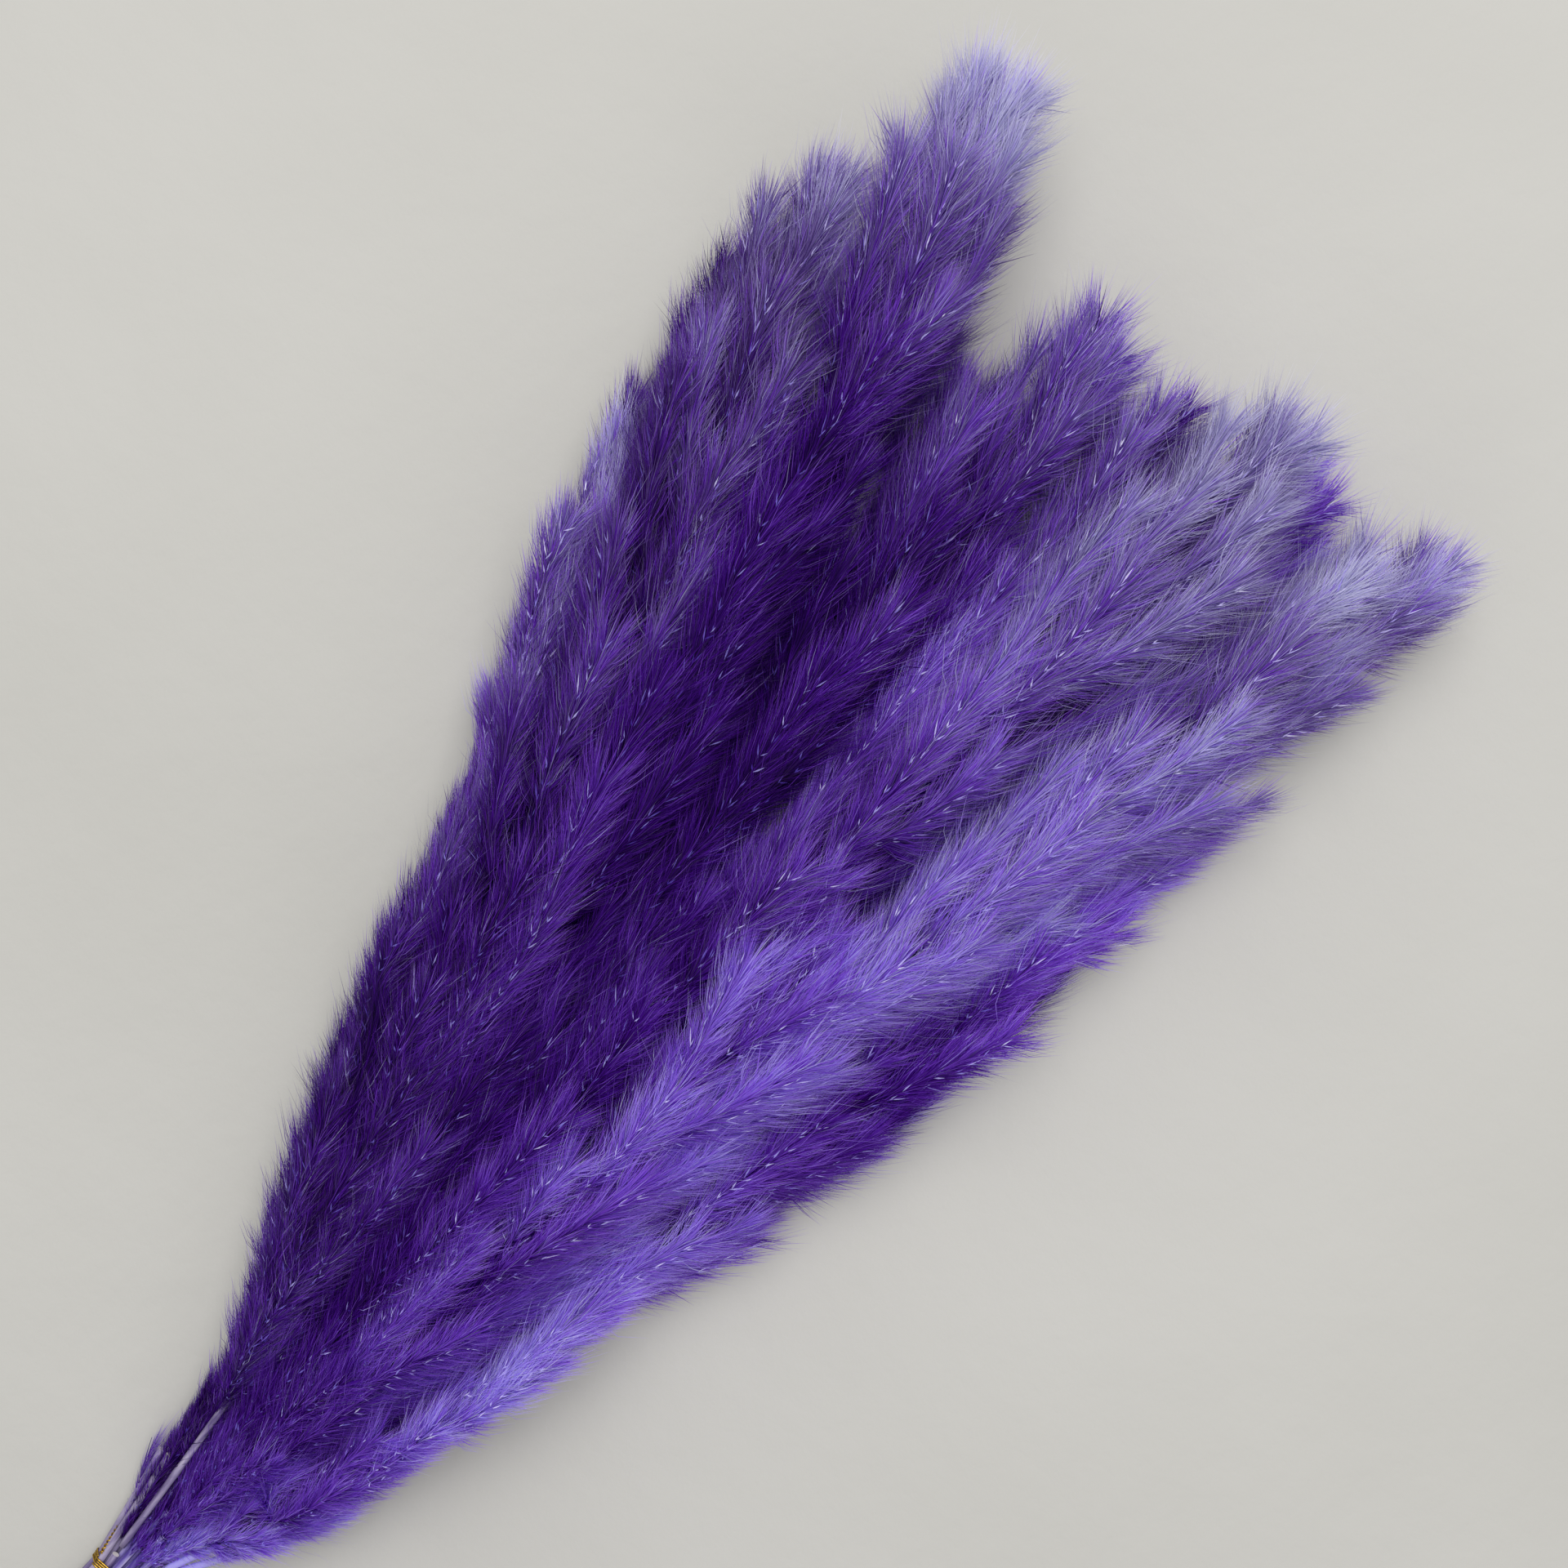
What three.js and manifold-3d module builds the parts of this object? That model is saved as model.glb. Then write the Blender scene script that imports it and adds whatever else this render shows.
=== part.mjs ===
// Dried pampas grass: a bunch of dyed plume stalks, tied near their cut ends and lying on a surface.
// Millimetres. X runs from the cut ends to the plume tips, Y to the left as seen from above, Z up.
import * as THREE from "three";
import { mergeVertices } from "three/addons/utils/BufferGeometryUtils.js";
import Module from "manifold-3d";

const wasm = await Module();
wasm.setup();

// Stems
const STEM_RADIUS = 1.15;
const STEM_SIDES = 5;
const STEM_STEPS = 4; // lengths of a stem between the tie and its head
const STEM_PITCH = 2.6; // from stem to stem where the tie holds them
const BUTT_LENGTH = 72; // from the tie down to the cut ends
const BUTT_SCATTER = 9; // how unevenly the ends are cut
const BUTT_SPREAD = 1.5; // the stems part again below the tie, to this times their pitch
const LEAD_SLOPE = 0.022; // how the stems part beyond the tie, for each millimetre from the middle
const LEAD_SHARE = 0.12; // of a stalk's reach, over which it keeps that slope
const LEAD_SHORTEST = 12;
const LEAD_LONGEST = 42;
const SEAT_GAP = 0.3; // between pieces that touch

// The tie: turns of thin wire round the stems
const WIRE_RADIUS = 0.6;
const TIE_TURNS = 3;
const TURN_PITCH = 1.1;
const TURN_STEPS = 28;
const TIE_LIFT = 0.15; // the bunch rests on its heads, so the wire just clears the surface

// Heads
const RACHIS_RADIUS = 1.25; // the head's slim core where it leaves the stem
const NECK_LENGTH = 22; // over which the core stays that slim
const CORE_RADIUS = 5.7; // the core at its fullest
const CORE_SWELL = 0.028; // how fast the core thickens beyond its neck, per millimetre
const CORE_TAPER = 0.14; // and how fast it thins again towards the tip
const CORE_RINGS = 8;
const CORE_SIDES = 5;
const SPRAY_PITCH = 13.2; // along the head's axis, from one spray to the next
const SPRAY_LENGTH = 58; // in the middle of a full head
const SPRAY_RADIUS = 4.6; // at its belly
const SPRAY_ROOT_RADIUS = 1.3;
const SPRAY_SPREAD = 0.44; // radians between a spray and its head's axis, near the base
const BELLY_AT = 0.42; // of a spray's length
const BELLY_BEND = 0.45; // of the spread that is left beyond the belly
const GOLDEN_ANGLE = 2.39996;
const CLEARANCE = 0.45; // kept between one stalk's sprays and another stalk
const FLAT_DEPTH = 0.5; // how far the surface flattens a spray that lies on it
const BALL_STEP = 3; // spacing of the test balls along a spray

// A spray that would cross another stalk is turned aside, bent in and shortened, by these in turn.
const BENDS = [
  { turn: 0, spread: 1, length: 1 },
  { turn: 0.6, spread: 0.8, length: 1 },
  { turn: -0.6, spread: 0.7, length: 1 },
  { turn: 0, spread: 0.5, length: 0.9 },
  { turn: 1, spread: 0.3, length: 0.8 },
  { turn: -1, spread: 0.15, length: 0.7 },
  { turn: 0, spread: 0.05, length: 0.5 },
];

// The stalks, row by row from the surface up and from left to right. tip is where the head's axis ends,
// swing where it runs sideways about half way along, start how far beyond the tie the head begins,
// and bush how full its sprays are.
const ROWS = [
  [
    { name: "01", tip: [266, 84, 11], swing: 28, start: 34, bush: 0.85 },
    { name: "02", tip: [384, 110, 12], swing: 26, start: 44, bush: 1.0 },
    { name: "03", tip: [420, 38, 12], swing: 15, start: 46, bush: 1.0 },
    { name: "04", tip: [464, -55, 12], swing: -18, start: 40, bush: 0.95 },
    { name: "05", tip: [366, -93, 12], swing: -47, start: 28, bush: 1.0 },
    { name: "06", tip: [276, -83, 11], swing: -54, start: 20, bush: 0.9 },
  ],
  [
    { name: "07", tip: [342, 107, 25], swing: 35, start: 38, bush: 0.95 },
    { name: "08", tip: [412, 109, 27], swing: 27, start: 42, bush: 1.0 },
    { name: "09", tip: [451, 17, 30], swing: 9, start: 38, bush: 1.3 },
    { name: "10", tip: [450, -13, 28], swing: -10, start: 34, bush: 0.95 },
    { name: "11", tip: [466, -95, 26], swing: -49, start: 26, bush: 1.05 },
    { name: "12", tip: [328, -89, 26], swing: -54, start: 22, bush: 1.0 },
    { name: "13", tip: [62, -36, 17], swing: -24, start: 10, bush: 0.55 },
  ],
  [
    { name: "14", tip: [434, 104, 40], swing: 28, start: 40, bush: 1.15 },
    { name: "15", tip: [484, 84, 42], swing: 17, start: 66, bush: 1.3 },
    { name: "16", tip: [462, -38, 44], swing: -14, start: 26, bush: 1.3 },
    { name: "17", tip: [272, -35, 47], swing: -25, start: 20, bush: 1.05 },
    { name: "18", tip: [446, -80, 40], swing: -38, start: 22, bush: 1.2 },
    { name: "19", tip: [156, -56, 32], swing: -39, start: 14, bush: 0.8 },
  ],
];
const ROW_HEIGHT = [13, 29, 45]; // of a head's axis above the surface, in the body of the bunch

const STEM_COLOUR = "#8d84a4";
const WIRE_COLOUR = "#c3a13c";
const ROW_COLOURS = ["#3f2a86", "#4a34a0", "#6a55b8"];

// A number from 0 to 1 that is always the same for the same two whole numbers.
function scatter(a, b) {
  const wave = Math.sin(a * 12.9898 + b * 78.233) * 43758.5453;
  return wave - Math.floor(wave);
}

// Where each stalk passes through the tie, and its curve from there to its tip.
function layOut() {
  const rowPitch = (STEM_PITCH * Math.sqrt(3)) / 2;
  const lowest = TIE_LIFT + 2 * WIRE_RADIUS + SEAT_GAP + STEM_RADIUS;
  const stalks = [];
  ROWS.forEach((row, r) =>
    row.forEach((stalk, c) => {
      const seed = Number(stalk.name);
      const across = ((row.length - 1) / 2 - c) * STEM_PITCH;
      const waist = new THREE.Vector3(0, across, lowest + r * rowPitch);
      const cut = BUTT_LENGTH - BUTT_SCATTER * scatter(seed, 1);
      const butt = new THREE.Vector3(-cut, across * BUTT_SPREAD, STEM_RADIUS + r * rowPitch * 1.1);
      const tip = new THREE.Vector3(...stalk.tip);
      const lead = new THREE.Vector3(1, LEAD_SLOPE * across, LEAD_SLOPE * r * rowPitch);
      lead.multiplyScalar(THREE.MathUtils.clamp(LEAD_SHARE * tip.x, LEAD_SHORTEST, LEAD_LONGEST));
      const arch = Math.min(1.12 * ROW_HEIGHT[r], 1.3 * tip.z);
      const middle = new THREE.Vector3(tip.x / 2, stalk.swing, arch);
      const curve = new THREE.CubicBezierCurve3(waist, waist.clone().add(lead), middle, tip);
      const reach = curve.getLength();
      const head = curve.getUtoTmapping(stalk.start / reach);
      const foot = curve.getUtoTmapping((stalk.start - SEAT_GAP) / reach);
      stalks.push({ ...stalk, seed, row: r, waist, butt, curve, reach, head, foot, sprays: [] });
    }),
  );
  return stalks;
}

// Directions across a curve at t: away from the surface, and to the left of the way it runs.
function acrossCurve(curve, t) {
  const along = curve.getTangent(t);
  const left = new THREE.Vector3(0, 0, 1).cross(along).normalize();
  return { along, left, up: along.clone().cross(left) };
}

function geometryOf(position, index) {
  const geometry = new THREE.BufferGeometry();
  geometry.setAttribute("position", new THREE.Float32BufferAttribute(position, 3));
  geometry.setIndex(index);
  return geometry;
}

// A closed solid through rings along a line of centres. A last ring of radius 0 is a point.
function loft(rings, sides) {
  const position = [];
  const index = [];
  for (const ring of rings) {
    const count = ring.radius > 0 ? sides : 1;
    for (let k = 0; k < count; k++) {
      const angle = (2 * Math.PI * k) / sides;
      const point = ring.centre.clone();
      point.addScaledVector(ring.left, ring.radius * Math.cos(angle));
      point.addScaledVector(ring.up, ring.radius * Math.sin(angle));
      position.push(point.x, point.y, point.z);
    }
  }
  for (let i = 1; i < rings.length; i++) {
    const a = (i - 1) * sides;
    const b = i * sides;
    for (let k = 0; k < sides; k++) {
      const next = (k + 1) % sides;
      if (rings[i].radius > 0) index.push(a + k, a + next, b + next, a + k, b + next, b + k);
      else index.push(a + k, a + next, b);
    }
  }
  const last = (rings.length - 1) * sides;
  for (let k = 1; k < sides - 1; k++) {
    index.push(0, k + 1, k);
    if (rings[rings.length - 1].radius > 0) index.push(last, last + k, last + k + 1);
  }
  return geometryOf(position, index);
}

// A closed three.js geometry as a solid that can be joined and cut.
function toSolid(geometry) {
  const bare = geometry.clone();
  bare.deleteAttribute("normal");
  bare.deleteAttribute("uv");
  const merged = mergeVertices(bare, 1e-4);
  const vertProperties = merged.attributes.position.array;
  const triVerts = new Uint32Array(merged.index.array);
  return new wasm.Manifold(new wasm.Mesh({ numProp: 3, vertProperties, triVerts }));
}

function toGeometry(solid) {
  const mesh = solid.getMesh();
  const geometry = new THREE.BufferGeometry();
  geometry.setAttribute("position", new THREE.BufferAttribute(mesh.vertProperties, 3));
  geometry.setIndex(new THREE.BufferAttribute(mesh.triVerts, 1));
  return geometry;
}

// The bare stem: from its cut end through the tie to the foot of its head.
function stemGeometry(stalk) {
  const rings = [{ centre: stalk.butt, radius: STEM_RADIUS, ...acrossCurve(stalk.curve, 0) }];
  for (let i = 0; i <= STEM_STEPS; i++) {
    const t = (stalk.foot * i) / STEM_STEPS;
    rings.push({ centre: stalk.curve.getPoint(t), radius: STEM_RADIUS, ...acrossCurve(stalk.curve, t) });
  }
  return loft(rings, STEM_SIDES);
}

// How thick a head's core is at t: it swells from the stem and thins towards the tip.
function coreRadius(stalk, t) {
  const beyondNeck = Math.max(0, (t - stalk.head) * stalk.reach - NECK_LENGTH);
  const swell = RACHIS_RADIUS + CORE_SWELL * beyondNeck;
  const taper = 1 + CORE_TAPER * (1 - t) * stalk.reach;
  return Math.min(swell, CORE_RADIUS * stalk.bush, taper);
}

// The head's core, a slim spindle along the stalk's curve.
function coreGeometry(stalk) {
  const rings = [];
  for (let i = 0; i <= CORE_RINGS; i++) {
    const t = stalk.head + ((1 - stalk.head) * i) / CORE_RINGS;
    const radius = i === CORE_RINGS ? 0 : coreRadius(stalk, t);
    rings.push({ centre: stalk.curve.getPoint(t), radius, ...acrossCurve(stalk.curve, t) });
  }
  return loft(rings, CORE_SIDES);
}

// The line of one spray: root on the head's axis, belly and tip, opening by spread and turned by angle.
// No point of it is below the surface by more than the surface flattens it.
function sprayLine(stalk, t, angle, spread, length) {
  const { along, left, up } = acrossCurve(stalk.curve, t);
  const out = left.multiplyScalar(Math.cos(angle)).addScaledVector(up, Math.sin(angle));
  const near = BELLY_AT * length;
  const far = length - near;
  const root = stalk.curve.getPoint(t);
  const belly = root.clone().addScaledVector(along, near * Math.cos(spread));
  belly.addScaledVector(out, coreRadius(stalk, t) * 0.6 + near * Math.sin(spread));
  const tip = belly.clone().addScaledVector(along, far * Math.cos(spread * BELLY_BEND));
  tip.addScaledVector(out, far * Math.sin(spread * BELLY_BEND));
  const radius = SPRAY_RADIUS * (0.55 + (0.45 * length) / SPRAY_LENGTH);
  belly.z = Math.max(belly.z, radius - FLAT_DEPTH);
  tip.z = Math.max(tip.z, FLAT_DEPTH);
  return { root, belly, tip, along, out, radius };
}

// Test balls that fill a spray.
function ballsAlong(line) {
  const balls = [];
  const parts = [
    { from: line.root, to: line.belly, first: SPRAY_ROOT_RADIUS, last: line.radius },
    { from: line.belly, to: line.tip, first: line.radius, last: 0.2 },
  ];
  for (const { from, to, first, last } of parts) {
    const steps = Math.ceil(from.distanceTo(to) / BALL_STEP);
    for (let i = 1; i <= steps; i++) {
      const { x, y, z } = from.clone().lerp(to, i / steps);
      balls.push({ x, y, z, r: first + ((last - first) * i) / steps });
    }
  }
  return balls;
}

// Whether balls keep clear of everything placed that isn't the owner's.
function isClear(balls, placed, owner) {
  for (const ball of balls) {
    for (const other of placed) {
      if (other.owner === owner) continue;
      const reach = ball.r + other.r + CLEARANCE;
      const dx = ball.x - other.x;
      if (Math.abs(dx) > reach) continue;
      const dy = ball.y - other.y;
      const dz = ball.z - other.z;
      if (dx * dx + dy * dy + dz * dz < reach * reach) return false;
    }
  }
  return true;
}

// Stems and cores of all stalks as balls, for the sprays to keep clear of.
function standingBalls(stalks) {
  const balls = [];
  for (const stalk of stalks) {
    const steps = Math.ceil(stalk.reach / 2);
    for (let i = 0; i <= steps; i++) {
      const t = i / steps;
      const { x, y, z } = stalk.curve.getPoint(t);
      const r = t < stalk.head ? STEM_RADIUS : coreRadius(stalk, t);
      balls.push({ x, y, z, r, owner: stalk.name });
    }
  }
  return balls;
}

// One spray of a stalk, bent as little as keeps it clear of what is placed, or none where nothing helps.
function addSpray(stalk, k, count, placed) {
  const share = (k + 0.4) / count;
  const t = 1 - (1 - stalk.head) * (1 - share) ** 1.2;
  const fullness = Math.min(1, 0.55 + 3 * share, 0.42 + 2.4 * (1 - share));
  const length = SPRAY_LENGTH * stalk.bush * fullness * (0.85 + 0.3 * scatter(stalk.seed, k + 7));
  const spread = SPRAY_SPREAD * (1 - 0.15 * share) * (0.8 + 0.4 * scatter(stalk.seed, k + 60));
  const angle = k * GOLDEN_ANGLE + stalk.seed;
  for (const bend of BENDS) {
    const line = sprayLine(stalk, t, angle + bend.turn, spread * bend.spread, length * bend.length);
    const balls = ballsAlong(line);
    if (!isClear(balls, placed, stalk.name)) continue;
    stalk.sprays.push(line);
    for (const ball of balls) placed.push({ ...ball, owner: stalk.name });
    return;
  }
}

// The sprays of all heads, from the base of each outwards, so that no head crowds out another.
function growSprays(stalks) {
  const placed = standingBalls(stalks);
  const counts = stalks.map((stalk) => Math.round((stalk.reach - stalk.start) / SPRAY_PITCH));
  for (let k = 0; k < Math.max(...counts); k++) {
    stalks.forEach((stalk, i) => {
      if (k < counts[i]) addSpray(stalk, k, counts[i], placed);
    });
  }
}

function sprayGeometry(line) {
  const across = { left: line.out, up: line.along.clone().cross(line.out).normalize() };
  const rings = [
    { centre: line.root, radius: SPRAY_ROOT_RADIUS, ...across },
    { centre: line.belly, radius: line.radius, ...across },
    { centre: line.tip, radius: 0, ...across },
  ];
  return loft(rings, 3);
}

// One head: its core and its sprays as one body, flat where it lies on the surface.
function headGeometry(stalk) {
  const parts = [coreGeometry(stalk), ...stalk.sprays.map(sprayGeometry)].map(toSolid);
  const under = new THREE.BoxGeometry(1400, 800, 40).translate(0, 0, -20);
  return toGeometry(wasm.Manifold.union(parts).subtract(toSolid(under)));
}

// A stem's centre at x, close to the tie.
function stemCentre(stalk, x) {
  if (x < 0) return stalk.waist.clone().lerp(stalk.butt, x / stalk.butt.x);
  const { along } = acrossCurve(stalk.curve, 0);
  return stalk.waist.clone().addScaledVector(along, x / along.x);
}

// The outline of the stems at x, in the direction of an angle seen along X, pushed out by grow.
function bundleOutline(stalks, x, angle, grow) {
  const outward = new THREE.Vector3(0, Math.cos(angle), Math.sin(angle));
  const centres = stalks.map((stalk) => stemCentre(stalk, x));
  const outer = centres.reduce((a, b) => (a.dot(outward) > b.dot(outward) ? a : b));
  return outer.addScaledVector(outward, STEM_RADIUS + grow);
}

// The turns of the tie, laid side by side: one closed band with a bead for every turn.
function tieGeometry(stalks) {
  const half = (TIE_TURNS * TURN_PITCH) / 2;
  const profile = [[-half, WIRE_RADIUS]];
  for (let turn = 1; turn <= TIE_TURNS; turn++) {
    const end = turn * TURN_PITCH - half;
    profile.push([end - TURN_PITCH / 2, 2 * WIRE_RADIUS], [end, WIRE_RADIUS]);
  }
  profile.push([half - TURN_PITCH / 2, 0], [TURN_PITCH / 2 - half, 0]);
  const position = [];
  const index = [];
  for (let i = 0; i < TURN_STEPS; i++) {
    const angle = (2 * Math.PI * (i + 0.5)) / TURN_STEPS;
    const a = i * profile.length;
    const b = ((i + 1) % TURN_STEPS) * profile.length;
    profile.forEach(([x, height], k) => {
      const point = bundleOutline(stalks, x, angle, SEAT_GAP + height);
      position.push(x, point.y, point.z);
      const next = (k + 1) % profile.length;
      index.push(a + k, b + k, b + next, a + k, b + next, a + next);
    });
  }
  return geometryOf(position, index);
}

function addMesh(group, name, geometry, finish) {
  const mesh = new THREE.Mesh(geometry, new THREE.MeshStandardMaterial(finish));
  mesh.name = name;
  group.add(mesh);
}

const bunch = new THREE.Group();
const stalks = layOut();
growSprays(stalks);
for (const stalk of stalks) {
  addMesh(bunch, `stem_${stalk.name}`, stemGeometry(stalk), { color: STEM_COLOUR, roughness: 0.55 });
  const headFinish = { color: ROW_COLOURS[stalk.row], roughness: 0.95 };
  addMesh(bunch, `plume_${stalk.name}`, headGeometry(stalk), headFinish);
}
addMesh(bunch, "tie", tieGeometry(stalks), { color: WIRE_COLOUR, roughness: 0.35, metalness: 0.9 });

// The part's origin is the middle of its footprint, on the surface.
const extent = new THREE.Box3().setFromObject(bunch);
const centre = extent.getCenter(new THREE.Vector3());
bunch.position.set(-centre.x, -centre.y, -extent.min.z);
const part = new THREE.Group();
part.add(bunch);

export default part;
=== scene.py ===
import math

import bpy
import numpy as np
from mathutils import Matrix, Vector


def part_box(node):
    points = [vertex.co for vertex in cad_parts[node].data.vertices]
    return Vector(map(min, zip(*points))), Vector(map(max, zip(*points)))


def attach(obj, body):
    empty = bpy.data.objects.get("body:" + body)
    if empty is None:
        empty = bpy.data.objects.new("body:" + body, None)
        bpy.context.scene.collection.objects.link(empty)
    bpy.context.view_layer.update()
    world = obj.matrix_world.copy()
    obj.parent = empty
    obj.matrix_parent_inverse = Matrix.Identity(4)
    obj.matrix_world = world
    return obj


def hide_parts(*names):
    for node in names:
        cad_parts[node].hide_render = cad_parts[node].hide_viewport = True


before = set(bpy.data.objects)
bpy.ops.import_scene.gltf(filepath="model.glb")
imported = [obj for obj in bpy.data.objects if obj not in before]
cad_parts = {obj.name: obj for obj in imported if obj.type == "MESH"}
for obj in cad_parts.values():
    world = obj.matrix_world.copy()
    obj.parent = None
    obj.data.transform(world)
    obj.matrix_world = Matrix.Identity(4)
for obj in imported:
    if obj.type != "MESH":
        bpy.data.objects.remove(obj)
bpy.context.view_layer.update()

MM = 0.001  # all lengths below are millimetres, in the bunch's own frame
UP = np.array([0.0, 0.0, 1.0])

# The bunch's own origin is under the tie, on the surface.
tie_low, tie_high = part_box("tie")
ORIGIN = np.array([(tie_low[0] + tie_high[0]) / 2, (tie_low[1] + tie_high[1]) / 2, 0.0])

# -------- the bunch, as in the source
STEM_RADIUS = 1.15
STEM_PITCH = 2.6
BUTT_LENGTH = 72
BUTT_SCATTER = 9
BUTT_SPREAD = 1.5
BUTT_RISE = 1.1
LEAD_SLOPE = 0.022
LEAD_SHARE = 0.12
LEAD_SHORTEST = 12
LEAD_LONGEST = 42
ARCH_OVER_ROW = 1.12
ARCH_OVER_TIP = 1.3
SEAT_GAP = 0.3
WIRE_RADIUS = 0.6
TIE_TURNS = 3
TURN_PITCH = 1.1
TIE_LIFT = 0.15
RACHIS_RADIUS = 1.25
NECK_LENGTH = 22
CORE_RADIUS = 5.7
CORE_SWELL = 0.028
CORE_TAPER = 0.14
GOLDEN_ANGLE = 2.39996
ROW_HEIGHT = [13, 29, 45]
SCATTER_WAVES = (12.9898, 78.233)
SCATTER_SCALE = 43758.5453
CURVE_POINTS = 401  # along a stalk's curve, to measure its length
AXIS_POINTS = 60  # along a plume's axis, to measure distances from it

# Each stalk: where its plume's tip is, where its axis swings sideways, how far from the tie the
# plume starts and how bushy it is, as in the source. Then its colours: how pale the plume is in its
# lower part, its body, its upper part and its tip, and the share of greyish hairs in the same
# places. The paleness follows how bright each part of a plume looks, so besides its dye it also
# paints some of the shade and light that fall on it.
LOW_ROW = [
    ("01", (266, 84, 11), 28, 34, 0.85, (0.22, 0.16, 0.14, 0.36), (0.30, 0.30, 0.40, 0.50)),
    ("02", (384, 110, 12), 26, 44, 1.0, (0.18, 0.14, 0.00, 0.00), (0.25, 0.25, 0.20, 0.30)),
    ("03", (420, 38, 12), 15, 46, 1.0, (0.16, 0.00, 0.02, 0.22), (0.10, 0.05, 0.10, 0.30)),
    ("04", (464, -55, 12), -18, 40, 0.95, (0.00, 0.00, 0.06, 0.40), (0.00, 0.00, 0.02, 0.05)),
    ("05", (366, -93, 12), -47, 28, 1.0, (0.40, 0.50, 0.68, 0.44), (0.00, 0.00, 0.00, 0.05)),
    ("06", (276, -83, 11), -54, 20, 0.9, (0.00, 0.68, 0.36, 0.90), (0.00, 0.00, 0.00, 0.05)),
]
MIDDLE_ROW = [
    ("07", (342, 107, 25), 35, 38, 0.95, (0.24, 0.14, 0.36, 0.50), (0.35, 0.35, 0.50, 0.60)),
    ("08", (412, 109, 27), 27, 42, 1.0, (0.20, 0.08, 0.12, 0.00), (0.30, 0.25, 0.35, 0.30)),
    ("09", (451, 17, 30), 9, 38, 1.3, (0.16, 0.04, 0.02, 0.24), (0.20, 0.10, 0.12, 0.50)),
    ("10", (450, -13, 28), -10, 34, 0.95, (0.02, 0.00, 0.50, 0.16), (0.02, 0.00, 0.05, 0.55)),
    ("11", (466, -95, 26), -49, 26, 1.05, (0.38, 0.48, 0.72, 0.28), (0.00, 0.00, 0.40, 0.70)),
    ("12", (328, -89, 26), -54, 22, 1.0, (0.00, 0.72, 0.06, 0.44), (0.00, 0.00, 0.00, 0.00)),
    ("13", (62, -36, 17), -24, 10, 0.55, (0.70, 0.62, 0.62, 0.68), (0.05, 0.05, 0.05, 0.05)),
]
TOP_ROW = [
    ("14", (434, 104, 40), 28, 40, 1.15, (0.14, 0.00, 0.20, 0.26), (0.35, 0.25, 0.45, 0.85)),
    ("15", (484, 84, 42), 17, 66, 1.3, (0.20, 0.02, 0.02, 0.44), (0.25, 0.10, 0.15, 0.85)),
    ("16", (462, -38, 44), -14, 26, 1.3, (0.10, 0.02, 0.42, 0.40), (0.02, 0.03, 0.30, 0.90)),
    ("17", (272, -35, 47), -25, 20, 1.05, (0.28, 0.30, 0.50, 0.50), (0.00, 0.00, 0.00, 0.00)),
    ("18", (446, -80, 40), -38, 22, 1.2, (0.38, 0.64, 0.52, 0.46), (0.00, 0.00, 0.25, 0.80)),
    ("19", (156, -56, 32), -39, 14, 0.8, (0.56, 0.42, 0.76, 0.52), (0.05, 0.00, 0.05, 0.10)),
]
ROWS = [LOW_ROW, MIDDLE_ROW, TOP_ROW]
TONES_AT = (0.1, 0.45, 0.75, 0.97)  # shares of the plume's length
BARE_AXES = {"13": 26.0, "19": 22.0}  # plumes whose axis shows bare and pale for a way, like a stem
LONG_STEM = "15"  # this stem lies bare on top of the bunch

# The sides of the bunch seen from above: how far it reaches to the left and to the right of the
# tie at distances from it. Branches keep within them by SIDE_MARGIN, the reach of their hairs, and
# hairs may cross them by HAIRS_BEYOND, each by its own share of it.
SIDE_AT = (0, 18, 32, 42, 60, 90, 110, 150, 190, 230, 250, 290, 320, 350, 390, 450)
LEFT_SIDE = (7, 12, 15, 16, 18, 25, 34, 50, 62, 71, 72, 96, 98, 108, 115, 113)
RIGHT_SIDE = (10, 16, 24, 32, 42, 46, 49, 57, 74, 85, 89, 91, 91, 99, 109, 121)
HAIRS_BEYOND = (1.5, 2, 3, 3, 3, 4, 5, 7, 9, 9, 8, 9, 9, 11, 12, 12)
BEYOND_SCATTER = (0.3, 1.7)
SIDE_INSET = 2.0  # hairs begin to be held back this far inside the sides
SIDE_MARGIN = 7.5
STRAY_SHARE = 0.22  # of the branches reach further, by millimetres between these
STRAY_BY = (4.0, 9.0)
OTHERS_BY = (-2, 1.5)  # and the others by these
STRAY_FULL = 110.0  # in full only from this far from the tie
UNMOVED = (-5, 3)  # what lies between these sideways isn't drawn in at all

# Bare stems that show on top: hairs part round them up to this far from the tie.
CLEARED = {"15": 66, "19": 30}
PARTING = 2.5  # how far beside such a stem its hairs lie pressed down by PARTING_RISE
PARTING_RISE = 3
PARTING_REACH = 1.6  # times as far they stay as they are
CLEARED_POINTS = 1200

# Small tufts by themselves: the stalk, how far along it, length, angle round it and off it.
TUFTS = [
    ("01", 17, 24, 0.5, 0.36),
    ("19", 54, 12, 0.6, 1.15),
    ("12", 48, 18, 2.6, 0.6),
    ("18", 40, 18, 1.8, 0.5),
    ("10", 385, 40, 0.2, 0.4),
    ("03", 380, 36, 3.0, 0.5),
]

# -------- how far anything may reach
FLOOR_GAP = 0.3  # the lowest hairs lie this far above the surface
BRANCH_GAP = 1.2  # and the lowest branches this far
CEILING = 74.0  # no hair rises above this
WIDEST = 123.0  # and none leaves the middle of the bunch's box sideways by more
MIDDLE = -ORIGIN[1] / MM

# How gently a line bends where it would cross a limit, and from how many times that it is straight.
FLOOR_SOFTNESS = 1.0
SIDE_SOFTNESS = 2.0
EDGE_SOFTNESS = 2.5
STRAIGHT_FROM = 5
STEEPEST = (-30, 6)  # limits of the exponent

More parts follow.
